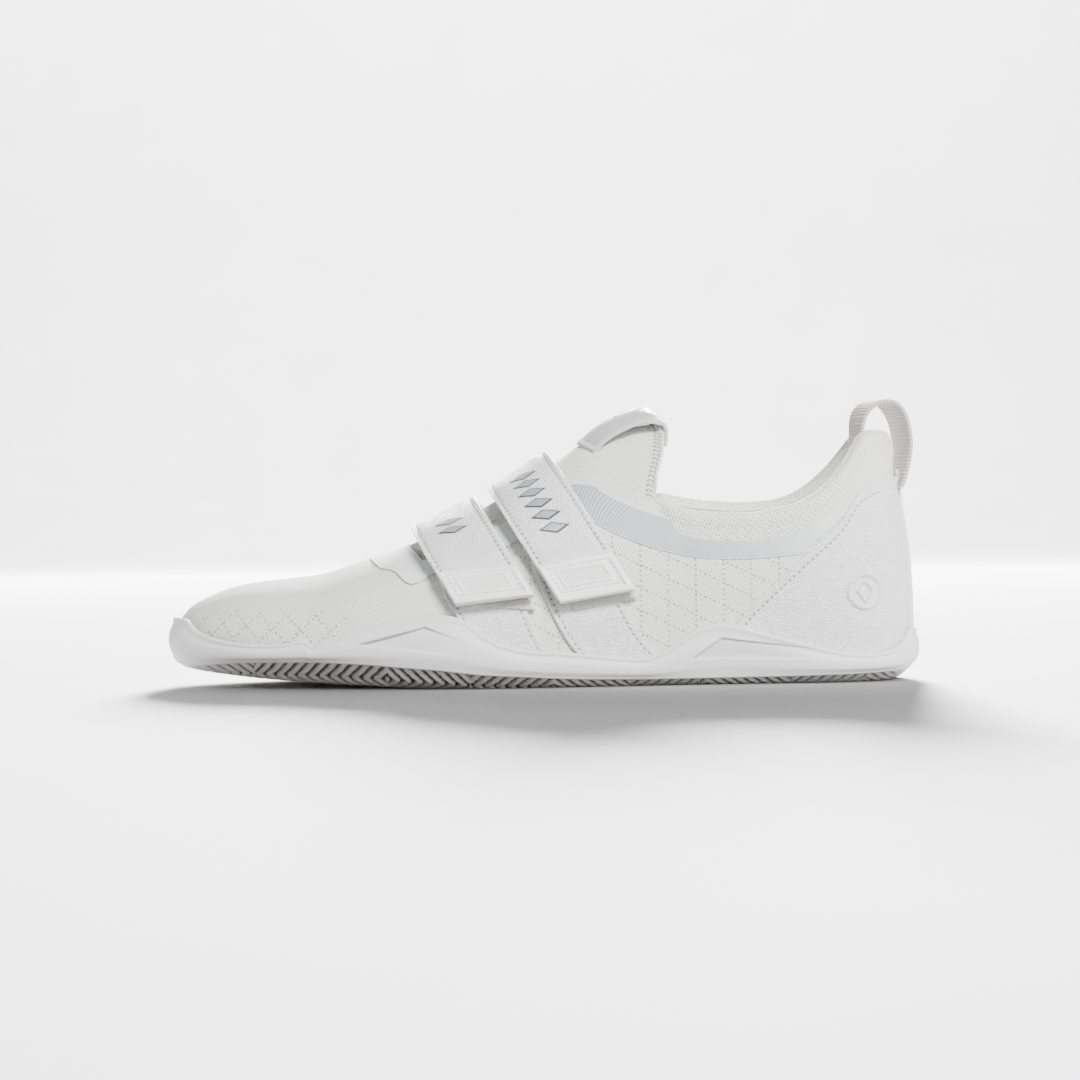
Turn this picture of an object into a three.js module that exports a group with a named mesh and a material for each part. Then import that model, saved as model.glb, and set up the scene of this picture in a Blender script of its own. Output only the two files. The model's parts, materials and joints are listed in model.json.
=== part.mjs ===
// A low slip-in training shoe for the left foot: rubber cup sole, one-piece knit upper, padded collar,
// and two padded straps that close with hook-and-loop tape on the outer side.
// Millimetres. The toe points to -X, the outer (lateral) side to -Y, +Z is up, and the ground is Z = 0.
import * as THREE from "three";

// ---------- driving dimensions ----------
const SHOE_LENGTH = 290;
const BALL_WIDTH = 108;
const COLLAR_HEIGHT = 96;

const GAP = 0.35; // clearance between neighbouring layers
const CUP_GAP = 0.6; // between the leather panels and the rubber side wall
const TONGUE_GAP = 0.9; // between the knit and the tongue beneath it
const LIP = 1.5; // rubber side wall at its lip
const KNIT = 1.6;
const OVERLAY = 1.3; // synthetic leather panels
const FILM = 0.5;
const OUTSOLE = 4;
const MIDSOLE = 3;
const STROBEL = 1.2;
const INSOLE = 3;
const COVER = 0.6;
const COUNTER = 1.5;
const PUFF = 1;
const LINING = 1;
const COLLAR_PAD = 4.2;
const LOOP_PILE = 0.8;
const HOOK = 0.8;
const STRAP = 2;
const TAB = 1.6;
const STRAP_WIDTH = 27.2;
const STRAP_GAP = 5.6;
const STRAP_TILT = THREE.MathUtils.degToRad(31.5);
const HINGE_GAP = 0.6; // between a strap's span and what it turns against
const TONGUE = 1.8;
const PULL_LEATHER = 1.2;
const PULL_HALF_WIDTH = 15;
const WEBBING_WIDTH = 13;
const WEBBING = 1.4;
const BACKSTAY_HALF_WIDTH = 3.6;

// ---------- layers, as distances out from the knit's outer face ----------
const panelIn = GAP;
const panelOut = panelIn + OVERLAY;
const pileIn = panelOut + GAP;
const pileOut = pileIn + LOOP_PILE;
const hookIn = pileOut + GAP;
const hookOut = hookIn + HOOK;
const strapIn = hookOut + GAP;
const strapOut = strapIn + STRAP;
const tabIn = strapOut + GAP;
const tabOut = tabIn + TAB;
const cupIn = panelOut + CUP_GAP;
const cupOut = cupIn + LIP;
const counterOut = -KNIT - GAP;
const counterIn = counterOut - COUNTER;
const padOut = -KNIT - GAP;
const padIn = padOut - COLLAR_PAD;

// ---------- the graded last: chosen points are in millimetres of this sample size ----------
const SAMPLE = { toe: 141.6, ball: 50.6, collar: 96 };
const gradeX = (SHOE_LENGTH / 2 - cupOut) / SAMPLE.toe;
const gradeY = (BALL_WIDTH / 2 - cupOut) / SAMPLE.ball;
const gradeZ = COLLAR_HEIGHT / SAMPLE.collar;
const graded = (points) => points.map(([x, z]) => [x * gradeX, z * gradeZ]);
// For pieces that keep their own size at the top of the heel, whatever the shoe's length and height.
const fromHeelTop = (points) => points.map(([x, z]) => [
  SAMPLE.toe * gradeX + x - SAMPLE.toe,
  COLLAR_HEIGHT + z - SAMPLE.collar,
]);

// Foot outline at the sole, from toe tip to heel tip: x, lateral y, ridge y, medial y.
const OUTLINE = [
  [-141.6, 8, 8, 8],
  [-140, -2, 8, 17],
  [-134.8, -12.5, 8, 26.5],
  [-124.5, -23.5, 8, 35.5],
  [-108, -34.3, 7, 43.5],
  [-87, -42.3, 6, 48.3],
  [-64, -48.2, 5, 50.6],
  [-38, -50.6, 4, 47.7],
  [-10, -48.6, 3, 40.7],
  [20, -42.7, 2, 34.2],
  [50, -37.2, 1, 30.7],
  [80, -34.2, 0, 31.2],
  [106, -32.1, 0, 31.6],
  [124.5, -26.3, 0, 26.8],
  [135, -17.5, 0, 18.3],
  [140.1, -8.6, 0, 9],
  [141.6, 0, 0, 0],
];
const HEEL = OUTLINE.length - 1; // outline parameter at the heel tip; it runs on back to the toe
const ROUND = 2 * HEEL;

// Smooth curve through points [x, value], level past both ends.
function curveThrough(points) {
  return (x) => {
    if (x <= points[0][0]) return points[0][1];
    const last = points.length - 1;
    if (x >= points[last][0]) return points[last][1];
    const i = points.findIndex((p) => p[0] > x) - 1;
    const slope = (k) => {
      if (k <= 0 || k >= last) return 0;
      const before = (points[k][1] - points[k - 1][1]) / (points[k][0] - points[k - 1][0]);
      const after = (points[k + 1][1] - points[k][1]) / (points[k + 1][0] - points[k][0]);
      return before * after > 0 ? (2 * before * after) / (before + after) : 0;
    };
    const span = points[i + 1][0] - points[i][0];
    const t = (x - points[i][0]) / span;
    const rise = points[i + 1][1] - points[i][1];
    const m0 = slope(i) * span;
    const m1 = slope(i + 1) * span;
    return points[i][1] + t * (m0 + t * (3 * rise - 2 * m0 - m1 + t * (m0 + m1 - 2 * rise)));
  };
}

// Heights along the shoe.
const ridgeHeight = curveThrough(graded([
  [-141.6, 29], [-137, 31.5], [-132, 33.8], [-124.5, 37], [-116.7, 38.9], [-101, 40.3], [-85.7, 42.4],
  [-70.2, 47.2], [-54.6, 51.7], [-21, 67.8], [7.7, 85.5], [15, 91], [25, 95.5], [36, 98], [46, 99.5],
  [60, 109], [80, 115], [100, 118],
]));
const bottomHeight = curveThrough([
  [-145, 8.6], [-137, 7.2], [-128, 6], [-107, 3.7], [-84, 2.1], [-68, 1.2], [-40, 0],
].map(([x, z]) => [x * gradeX, z]));
const rimHeight = curveThrough(graded([
  [-143, 26.2], [-138.6, 25.8], [-134.3, 22.5], [-130, 20.6], [-122, 18.5], [-106, 16.9], [-98, 17.1],
  [-88.7, 18.5], [-85.2, 16.6], [-82.5, 17.9], [-67.7, 22.3], [-56.3, 25.1], [-45.8, 26.9], [-37.6, 27.3],
  [-30.9, 26.3], [-22.6, 20.8], [-15.2, 16.6], [-5.2, 14.1], [5.8, 13.4], [18.7, 12.1], [38, 10.4],
  [47.7, 14.3], [54.1, 18.3], [59.3, 21.2], [67, 22.8], [74.8, 21.4], [82.4, 19.2], [95.4, 15.7],
  [106.7, 12.8], [118, 10.9], [124, 10.7], [132, 11.5], [137, 13.5], [140, 16.5], [142, 19.4],
]));
const fullness = curveThrough([
  [-130, 2.4], [-55, 2.1], [-20, 1.85], [20, 1.85], [50, 2.1], [90, 2.4],
].map(([x, n]) => [x * gradeX, n])); // section exponent: 2 is an ellipse, more is boxier

// Both ends lean back over the foot as they rise.
const TOE_LEAN = 0.24;
const heelLean = curveThrough([
  [20, 0], [44, -0.8], [57, -2.4], [68.5, -4], [76, -4.7], [83, -5.2], [90, -6.4], [96, -8.4],
].map(([z, x]) => [z * gradeZ, x]));
const toeShare = curveThrough([[-141.6 * gradeX, 1], [-110 * gradeX, 0]]);
const heelShare = curveThrough([[85 * gradeX, 0], [141.6 * gradeX, 1]]);

// Catmull-Rom through the closed outline; column 1 is replaced by column 3 past the heel tip.
function outlineRow(index) {
  const k = ((index % ROUND) + ROUND) % ROUND;
  const row = OUTLINE[k <= HEEL ? k : ROUND - k];
  return [row[0] * gradeX, (k <= HEEL ? row[1] : row[3]) * gradeY, row[2] * gradeY];
}

function outline(tau) {
  const i = Math.floor(tau);
  const t = tau - i;
  const [a, b, c, d] = [-1, 0, 1, 2].map((k) => outlineRow(i + k));
  const blend = (k) =>
    0.5 * (2 * b[k] + t * (c[k] - a[k] + t * (2 * a[k] - 5 * b[k] + 4 * c[k] - d[k]
      + t * (3 * b[k] - a[k] - 3 * c[k] + d[k]))));
  return { x: blend(0), y: blend(1), ridge: blend(2) };
}

const SOLE_STACK = OUTSOLE + GAP + MIDSOLE + GAP; // ground face to the upper's lower edge
const baseHeight = (x) => bottomHeight(x) + SOLE_STACK;

// The knit's outer face. tau runs round the outline, q runs from 0 at the sole to 1 at the ridge.
function lastPoint(tau, q) {
  const at = outline(tau);
  const foot = baseHeight(at.x);
  const power = 2 / fullness(at.x);
  const angle = Math.min(Math.max(q, 0), 1) * Math.PI / 2;
  const z = foot + (ridgeHeight(at.x) - foot) * Math.sin(angle) ** power;
  const wide = Math.max(Math.cos(angle), 0) ** power;
  const lean = toeShare(at.x) * TOE_LEAN * (z - foot) + heelShare(at.x) * heelLean(z);
  return new THREE.Vector3(at.x + lean, at.ridge + (at.y - at.ridge) * wide, z);
}

const STEP = 1e-3;
function lastNormal(tau, q) {
  const along = lastPoint(tau + STEP, q).sub(lastPoint(tau - STEP, q));
  const up = lastPoint(tau, Math.min(q + STEP, 1)).sub(lastPoint(tau, Math.max(q - STEP, 0)));
  return along.cross(up).normalize();
}

const offsetPoint = (tau, q, out) => lastPoint(tau, q).addScaledVector(lastNormal(tau, q), out);

function bisect(low, high, isBelow) {
  for (let k = 0; k < 40; k++) {
    const middle = (low + high) / 2;
    if (isBelow(middle)) low = middle;
    else high = middle;
  }
  return (low + high) / 2;
}

// psi crosses the shoe at one station: 0 at the lateral sole, 1 at the ridge, 2 at the medial sole.
const crossing = (tau, psi) => (psi <= 1 ? [tau, psi] : [ROUND - tau, 2 - psi]);

function qAtHeight(tau, z) {
  return bisect(0, 1, (q) => lastPoint(tau, q).z < z);
}

// Station tau and q of a point seen from the side at (x, z).
function locate(x, z) {
  const tau = bisect(0, HEEL, (t) => lastPoint(t, qAtHeight(t, z)).x < x);
  return [tau, qAtHeight(tau, z)];
}
const LATERAL = -1;
const MEDIAL = 1;
const onSide = (side, [tau, q]) => [side === LATERAL ? tau : ROUND - tau, q];
const stationAt = (x) => bisect(0, HEEL, (t) => outline(t).x < x);

// ---------- closed shells ----------
// at(i, j) gives the outer and inner point of a grid node; has(i, j) says whether a cell is there.
// zipped grids meet themselves at both ends, so those ends get no wall.
function shell(columns, rows, at, { has = () => true, zipped = false } = {}) {
  const positions = [];
  const index = [];
  const node = (i, j) => 2 * (i * (rows + 1) + j);
  for (let i = 0; i <= columns; i++) {
    for (let j = 0; j <= rows; j++) {
      const [outer, inner] = at(i, j);
      positions.push(...outer.toArray(), ...inner.toArray());
    }
  }
  const filled = (i, j) => i >= 0 && j >= 0 && i < columns && j < rows && has(i, j);
  const quad = (a, b, c, d) => index.push(a, b, c, a, c, d);
  for (let i = 0; i < columns; i++) {
    for (let j = 0; j < rows; j++) {
      if (!has(i, j)) continue;
      const a = node(i, j);
      const b = node(i + 1, j);
      const c = node(i + 1, j + 1);
      const d = node(i, j + 1);
      quad(a, b, c, d);
      quad(a + 1, d + 1, c + 1, b + 1);
      if (!filled(i, j - 1)) quad(a, a + 1, b + 1, b);
      if (!filled(i, j + 1)) quad(c, c + 1, d + 1, d);
      if (!filled(i - 1, j) && !(zipped && i === 0)) quad(d, d + 1, a + 1, a);
      if (!filled(i + 1, j) && !(zipped && i === columns - 1)) quad(b, b + 1, c + 1, c);
    }
  }
  const geometry = new THREE.BufferGeometry();
  geometry.setAttribute("position", new THREE.Float32BufferAttribute(positions, 3));
  geometry.setIndex(index);
  geometry.computeVertexNormals();
  return geometry;
}

// A panel over the last: place(a, b) gives [tau, q], with a along the shoe and b up it.
function panel(columns, rows, place, outer, inner) {
  return shell(columns, rows, (i, j) => {
    const [tau, q] = place(i / columns, j / rows);
    return [offsetPoint(tau, q, outer), offsetPoint(tau, q, inner)];
  });
}
// Medial panels run heel to toe, so that every panel's grid turns the same way round the last.
const sideOrder = (side, a) => (side === LATERAL ? a : 1 - a);
const mix = THREE.MathUtils.lerp;

// Flat pieces that fill the outline, between two heights above the ground face.
const STATIONS = 2 * HEEL; // along one side of the shoe
function board(out, low, high) {
  return shell(STATIONS, 1, (i, j) => {
    const tau = HEEL * i / STATIONS;
    const edge = offsetPoint(j === 0 ? tau : ROUND - tau, 0, out);
    const ground = bottomHeight(lastPoint(tau, 0).x);
    return [edge.clone().setZ(ground + high), edge.setZ(ground + low)];
  });
}

// ---------- lines of the upper, seen from the side ----------
const throatEdge = curveThrough(graded([
  [-52, 47.4], [-44.7, 47.6], [-17.1, 60.2], [-13.6, 61.9], [8, 74.5], [14, 75.6], [19, 75], [27, 70.4],
  [41, 70.4],
]));
const collarTop = {
  [LATERAL]: curveThrough(graded([
    [38, 74.4], [45, 70.3], [56.3, 66], [67.6, 64.8], [78.9, 64.6], [90.2, 66.4], [97.8, 68.8], [103.5, 72.2],
    [109.2, 77.8], [114.9, 84.8], [119.5, 90.8], [123.5, 94.4], [129, 96],
  ])),
  [MEDIAL]: curveThrough(graded([
    [38, 76.4], [45, 74.3], [56.3, 71.4], [67.6, 69.9], [78.9, 69.2], [90.2, 69.8], [97.8, 72], [103.5, 75.4],
    [109.2, 80.4], [114.9, 86.6], [119.5, 91.6], [123.5, 94.6], [129, 96],
  ])),
};
const ROLL_DROP = 4; // from the top of the collar roll to the knit's edge
const COLLAR_START = 41 * gradeX;

function knitEdge(tau, side) {
  const x = outline(tau).x;
  if (x <= COLLAR_START) return throatEdge(x);
  const top = collarTop[side](x + heelShare(x) * heelLean(COLLAR_HEIGHT));
  const blend = Math.min((x - COLLAR_START) / 8, 1);
  return mix(throatEdge(COLLAR_START), top - ROLL_DROP, blend);
}

// ---------- sole ----------
const SOLE_CORNER = 5; // the side wall's fullest height above the ground face
const BEVEL = 3.5;

function outsoleRing(tau) {
  const foot = lastPoint(tau, 0);
  const normal = lastNormal(tau, 0).setZ(0).normalize();
  const at = (out, z) => foot.clone().addScaledVector(normal, out).setZ(z);
  const bottom = bottomHeight(foot.x);
  const rim = rimHeight(foot.x + normal.x * cupOut);
  const rimQ = qAtHeight(tau, rim);
  const middleQ = qAtHeight(tau, mix(foot.z, rim, 0.55));
  return [
    at(cupOut - BEVEL, bottom),
    at(cupOut - 0.6, bottom + 1.6),
    at(cupOut, bottom + SOLE_CORNER),
    offsetPoint(tau, middleQ, cupOut),
    offsetPoint(tau, rimQ, cupOut),
    offsetPoint(tau, rimQ, cupIn),
    offsetPoint(tau, middleQ, cupIn),
    at(cupIn, bottom + OUTSOLE),
  ];
}

function outsoleGeometry() {
  const steps = 2 * STATIONS;
  const rings = [];
  for (let i = 0; i < steps; i++) rings.push(outsoleRing(ROUND * i / steps));
  const size = rings[0].length;
  const positions = rings.flat().flatMap((p) => p.toArray());
  const index = [];
  const node = (i, j) => ((i + steps) % steps) * size + j;
  for (let i = 0; i < steps; i++) {
    for (let j = 0; j < size - 1; j++) {
      index.push(node(i, j), node(i + 1, j), node(i + 1, j + 1));
      index.push(node(i, j), node(i + 1, j + 1), node(i, j + 1));
    }
  }
  const half = steps / 2;
  for (let i = 0; i < half; i++) {
    const cap = (j, flip) => {
      const [a, b, c, d] = [node(i, j), node(i + 1, j), node(-i - 1, j), node(-i, j)];
      if (i < half - 1) index.push(...(flip ? [a, b, c] : [a, c, b]));
      if (i > 0) index.push(...(flip ? [a, c, d] : [a, d, c]));
    };
    cap(0, false);
    cap(size - 1, true);
  }
  const geometry = new THREE.BufferGeometry();
  geometry.setAttribute("position", new THREE.Float32BufferAttribute(positions, 3));
  geometry.setIndex(index);
  geometry.computeVertexNormals();
  return geometry;
}

// ---------- knit upper, open at the throat and mouth ----------
const THROAT_START = 6.5; // outline parameter where the throat opens

function knitGeometry() {
  const columns = STATIONS;
  const side = 6;
  const middle = 6;
  const rows = 2 * side + middle;
  const edgeQ = (tau, which) => {
    const open = Math.max(tau, THROAT_START);
    const height = knitEdge(open, which);
    return qAtHeight(which === LATERAL ? open : ROUND - open, height);
  };
  return shell(columns, rows, (i, j) => {
    const tau = HEEL * i / columns;
    const low = edgeQ(tau, LATERAL);
    const high = 2 - edgeQ(tau, MEDIAL);
    let psi = low * j / side;
    if (j > side) psi = mix(low, high, (j - side) / middle);
    if (j > side + middle) psi = mix(high, 2, (j - side - middle) / side);
    const [t, q] = crossing(tau, psi);
    return [offsetPoint(t, q, 0), offsetPoint(t, q, -KNIT)];
  }, {
    has: (i, j) => HEEL * i / columns < THROAT_START || j < side || j >= side + middle,
    zipped: true,
  });
}

// ---------- collar: foam pad, and the lining that rolls over it ----------
const WRAP_START = stationAt(COLLAR_START + 6);

// Goes round the back from the lateral side to the medial side.
function roundTheHeel(first, share) {
  const tau = mix(first, ROUND - first, share);
  const side = tau <= HEEL ? LATERAL : MEDIAL;
  return { tau, side, station: tau <= HEEL ? tau : ROUND - tau };
}

const PAD_BOTTOM = 52 * gradeZ;
const COLLAR_STATIONS = 26;

function padGeometry() {
  const rows = 3;
  const topRise = 1.2; // above the knit's edge, inside the roll
  const topTaper = 0.8;
  return shell(COLLAR_STATIONS, rows, (i, j) => {
    const { tau, side, station } = roundTheHeel(WRAP_START, i / COLLAR_STATIONS);
    const q = qAtHeight(tau, mix(PAD_BOTTOM, knitEdge(station, side) + topRise, j / rows));
    return [offsetPoint(tau, q, padOut), offsetPoint(tau, q, padIn + (j === rows ? topTaper : 0))];
  });
}

function liningGeometry() {
  const wall = padIn - GAP;
  const low = counterIn - GAP;
  // From the knit's edge over the roll: height above the knit's edge, shown face, hidden face.
  const roll = [
    [0.8, -0.1, -1.1],
    [2.4, -0.7, -1.7],
    [3.7, -2.2, -2.9],
    [4, -3.9, -3.9],
    [3.5, -5.7, -4.9],
    [2, -7, -5.9],
    [-1, wall - LINING, wall],
  ];
  // Then down the inside, close to the counter below the pad: height and hidden face.
  const floor = (tau) => baseHeight(outline(tau).x) + STROBEL + GAP;
  const down = [
    [() => PAD_BOTTOM - 1.5, wall],
    [() => PAD_BOTTOM - 11, low],
    [() => PAD_BOTTOM / 2, low],
    [floor, low],
  ];
  return shell(COLLAR_STATIONS, roll.length + down.length - 1, (i, j) => {
    const { tau, side, station } = roundTheHeel(WRAP_START, i / COLLAR_STATIONS);
    const edge = knitEdge(station, side);
    if (j < roll.length) {
      const [rise, shown, hidden] = roll[j];
      const q = qAtHeight(tau, edge + rise);
      const inner = qAtHeight(tau, edge + Math.min(rise, 2.6 + (rise - 2.6) * 0.2));
      return [offsetPoint(tau, q, shown), offsetPoint(tau, inner, hidden)];
    }
    const [height, hidden] = down[j - roll.length];
    const q = qAtHeight(tau, height(tau));
    return [offsetPoint(tau, q, hidden - LINING), offsetPoint(tau, q, hidden)];
  });
}

// ---------- stiffeners ----------
function puffGeometry() {
  const columns = 8;
  return shell(columns, 8, (i, j) => {
    const tau = mix(0.6, 3.6, i / columns);
    const [t, q] = crossing(tau, mix(0.12, 1.88, j / 8));
    return [offsetPoint(t, q, -KNIT - CUP_GAP), offsetPoint(t, q, -KNIT - CUP_GAP - PUFF)];
  });
}

function counterGeometry() {
  const first = stationAt(96 * gradeX);
  const top = 50 * gradeZ;
  return shell(16, 4, (i, j) => {
    const { tau } = roundTheHeel(first, i / 16);
    const foot = baseHeight(outline(tau).x) + STROBEL + GAP;
    const q = qAtHeight(tau, mix(foot, top, j / 4));
    return [offsetPoint(tau, q, counterOut), offsetPoint(tau, q, counterIn)];
  });
}

// ---------- panels ----------
const PANEL_TUCK = 4; // how far a panel runs down behind the rubber lip
function seat(tau) {
  const x = lastPoint(tau, 0).x;
  return Math.max(rimHeight(x) - PANEL_TUCK, baseHeight(x) + 0.5);
}

function bandGeometry(side) {
  const top = curveThrough(graded([
    [8, 75], [14, 75.8], [18.6, 75.3], [26.8, 70.4], [40.9, 64.6], [59.6, 59.5], [74.5, 58.6], [89.5, 58.8],
    [104.5, 60.9], [122.5, 64.5],
  ]));
  const bottom = curveThrough(graded([
    [8, 69], [19.1, 61.8], [29.5, 56.1], [44.4, 50.7], [59.2, 47.6], [74.1, 46.9], [92.8, 48], [111.5, 50],
  ]));
  const edge = 0.8; // kept back from the knit's own edge
  return panel(18, 3, (a, b) => {
    const share = sideOrder(side, a);
    const x = mix(mix(17, 9, b), mix(96, 113.5, b), share) * gradeX;
    return onSide(side, locate(x, mix(bottom(x), top(x) - edge, b)));
  }, panelIn + FILM, panelIn);
}

function heelOverlayGeometry(side) {
  const edge = curveThrough(graded([
    [67.4, 19.4], [80.6, 31.2], [96.9, 46], [113.2, 60.8], [120.4, 71], [127.2, 75], [132.1, 76.5],
  ]));
  const first = stationAt(70 * gradeX);
  const tip = bisect(HEEL - 3, HEEL, (t) => outline(t).y < -BACKSTAY_HALF_WIDTH - OVERLAY);
  return panel(16, 5, (a, b) => {
    const tau = mix(first, tip, sideOrder(side, a));
    const t = side === LATERAL ? tau : ROUND - tau;
    const low = seat(t);
    let high = low;
    for (let k = 0; k < 6; k++) high = edge(lastPoint(t, qAtHeight(t, high)).x);
    return [t, qAtHeight(t, mix(low, Math.max(high, low + 3), b))];
  }, panelOut, panelIn);
}

function backstayGeometry() {
  const start = bisect(HEEL - 3, HEEL, (t) => outline(t).y < -BACKSTAY_HALF_WIDTH);
  const top = 77.5 * gradeZ;
  return panel(6, 10, (a, b) => {
    const tau = mix(start, ROUND - start, a);
    return [tau, qAtHeight(tau, mix(seat(HEEL), top, b))];
  }, panelOut, panelIn);
}

// Smooth film round the throat: a front bridge over the vamp and one arm on each side.
function filmGeometry() {
  const outerEdge = curveThrough(graded([
    [-58, 42.6], [-54.1, 40.9], [-49.3, 38], [-45.2, 39.2], [-41.9, 41.3], [-12.7, 52.1], [-8.4, 54.3],
    [8, 63],
  ]));
  const columns = 16;
  const arm = 2;
  const middle = 6;
  const bridge = 4;
  const rows = 2 * arm + middle;
  const openX = outline(THROAT_START).x;
  const stationX = (i, psi) => {
    const front = mix(-65.4, -54, Math.min(Math.abs(psi - 1) / 0.42, 1) ** 1.6) * gradeX;
    if (i <= bridge) return mix(front, openX, i / bridge);
    return mix(openX, 8 * gradeX, (i - bridge) / (columns - bridge));
  };
  const limits = (x, side) => {
    const tau = stationAt(x);
    const t = side === LATERAL ? tau : ROUND - tau;
    return [qAtHeight(t, outerEdge(x)), qAtHeight(t, throatEdge(Math.max(x, openX)) - 0.5)];
  };
  return shell(columns, rows, (i, j) => {
    const x = stationX(i, 1);
    const [lateralLow, lateralHigh] = limits(x, LATERAL);
    const [medialLow, medialHigh] = limits(x, MEDIAL);
    let psi = mix(lateralLow, lateralHigh, j / arm);
    if (j > arm) psi = mix(lateralHigh, 2 - medialHigh, (j - arm) / middle);
    if (j > arm + middle) psi = mix(2 - medialHigh, 2 - medialLow, (j - arm - middle) / arm);
    const [t, q] = crossing(stationAt(stationX(i, psi)), psi);
    return [offsetPoint(t, q, panelIn + FILM), offsetPoint(t, q, panelIn)];
  }, { has: (i, j) => i < bridge || j < arm || j >= arm + middle });
}

// ---------- tongue ----------
const TONGUE_SPLIT = 77 * gradeZ; // height above which the tongue is free to tip
const TONGUE_END = 43.5 * gradeX;
const TONGUE_FRONT = 14.7 * gradeX;

function tongueGeometry() {
  const columns = 16;
  const side = 3;
  const middle = 6;
  const rows = 2 * side + middle;
  const closed = 10;
  const tuck = 5; // how far the tongue runs in under the throat's edge
  const limits = (x, which) => {
    const tau = stationAt(x);
    const t = which === LATERAL ? tau : ROUND - tau;
    const low = qAtHeight(t, throatEdge(Math.min(x, COLLAR_START)) - tuck);
    return [low, Math.max(qAtHeight(t, Math.min(TONGUE_SPLIT - 1, ridgeHeight(x) - 1)), low + 0.05)];
  };
  const start = outline(THROAT_START).x - 2;
  const tip = TONGUE_FRONT + 0.6; // just under the free end's front edge
  return shell(columns, rows, (i, j) => {
    const x = i <= closed
      ? mix(start, tip, i / closed)
      : mix(tip, TONGUE_END, (i - closed) / (columns - closed));
    const [lateralLow, lateralHigh] = limits(x, LATERAL);
    const [medialLow, medialHigh] = limits(x, MEDIAL);
    let psi = mix(lateralLow, lateralHigh, j / side);
    if (j > side) psi = mix(lateralHigh, 2 - medialHigh, (j - side) / middle);
    if (j > side + middle) psi = mix(2 - medialHigh, 2 - medialLow, (j - side - middle) / side);
    const [t, q] = crossing(stationAt(x), psi);
    return [offsetPoint(t, q, -KNIT - TONGUE_GAP), offsetPoint(t, q, -KNIT - TONGUE_GAP - TONGUE)];
  }, { has: (i, j) => i < closed || j < side || j >= side + middle });
}

// Free upper end of the tongue: its front edge sweeps back from the ridge to both sides.
const TONGUE_SWEEP = 9;
const TONGUE_REAR = 45.5 * gradeX;
const TONGUE_REAR_DROP = 2.5;

function tongueTopGeometry() {
  return shell(10, 12, (i, j) => {
    const b = 2 * j / 12 - 1;
    const x = mix(TONGUE_FRONT + TONGUE_SWEEP * b * b, TONGUE_REAR - TONGUE_REAR_DROP * b * b, i / 10);
    const tau = stationAt(x);
    const lateral = qAtHeight(tau, TONGUE_SPLIT);
    const medial = qAtHeight(ROUND - tau, TONGUE_SPLIT);
    const [t, q] = crossing(tau, mix(lateral, 2 - medial, j / 12));
    return [offsetPoint(t, q, 0), offsetPoint(t, q, -TONGUE)];
  });
}

// Leather pull over the tongue's top: a strip that arches clear of the tongue for a fingertip.
function tonguePullGeometry() {
  const crest = graded([
    [15.6, 93.2], [20, 97.4], [25, 100.6], [31.2, 103.6], [37, 105.7], [41.5, 105.6], [45.2, 103.2],
    [47.2, 99.4], [47.6, 95],
  ]);
  const line = new THREE.CatmullRomCurve3(crest.map(([x, z]) => new THREE.Vector3(x, 0, z)));
  const sweep = 6;
  const centre = 2 * gradeY;
  return shell(14, 6, (i, j) => {
    const a = i / 14;
    const b = 2 * j / 6 - 1;
    const point = line.getPoint(a);
    const ahead = line.getTangent(a);
    const out = new THREE.Vector3(-ahead.z, 0, ahead.x);
    const drop = mix(5.4, 6.6, a) * b * b;
    const outer = new THREE.Vector3(point.x + sweep * b * b * (1 - a), centre + PULL_HALF_WIDTH * b, point.z);
    outer.z -= drop * Math.max(out.z, 0.25);
    return [outer, outer.clone().addScaledVector(out, -PULL_LEATHER)];
  });
}

// ---------- heel pull loop: webbing sewn inside the collar and outside the heel ----------
function heelLoopGeometry() {
  const path = fromHeelTop([
    [122.4, 86.5], [122.4, 94], [123.8, 101], [127.4, 105.2], [131.8, 106.4], [135.8, 104.6], [138.9, 99.6],
    [140.2, 92], [139.9, 85], [138.6, 79],
  ]);
  const line = new THREE.CatmullRomCurve3(path.map(([x, z]) => new THREE.Vector3(x, 0, z)));
  const twist = THREE.MathUtils.degToRad(29);
  return shell(22, 2, (i, j) => {
    const a = i / 22;
    const turn = twist * Math.sin(Math.PI * a) ** 0.7;
    const point = line.getPoint(a);
    const ahead = line.getTangent(a);
    const out = new THREE.Vector3(-ahead.z, 0, ahead.x).applyAxisAngle(new THREE.Vector3(0, 0, 1), turn);
    const across = new THREE.Vector3(0, 1, 0).applyAxisAngle(new THREE.Vector3(0, 0, 1), turn);
    const middle = point.clone().addScaledVector(across, (j / 2 - 0.5) * WEBBING_WIDTH);
    return [
      middle.clone().addScaledVector(out, WEBBING / 2),
      middle.clone().addScaledVector(out, -WEBBING / 2),
    ];
  });
}

// ---------- straps ----------
// A strap lies between two planes across the tilted axis; u runs along that axis and v stands on it.
const axisDirection = new THREE.Vector3(Math.cos(STRAP_TILT), 0, Math.sin(STRAP_TILT));
const uOf = (x, z) => x * Math.cos(STRAP_TILT) + z * Math.sin(STRAP_TILT);
const vOf = (x, z) => z * Math.cos(STRAP_TILT) - x * Math.sin(STRAP_TILT);

// Point on the layer `out` at u, where psi crosses the shoe.
function strapPoint(u, psi, out) {
  const tau = bisect(3, HEEL - 3, (t) => {
    const p = offsetPoint(...crossing(t, psi), out);
    return uOf(p.x, p.z) < u;
  });
  return offsetPoint(...crossing(tau, psi), out);
}

function psiAtV(u, v, side, out) {
  const q = bisect(0.02, 1, (value) => {
    const p = strapPoint(u, side === LATERAL ? value : 2 - value, out);
    return vOf(p.x, p.z) < v;
  });
  return side === LATERAL ? q : 2 - q;
}

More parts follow.
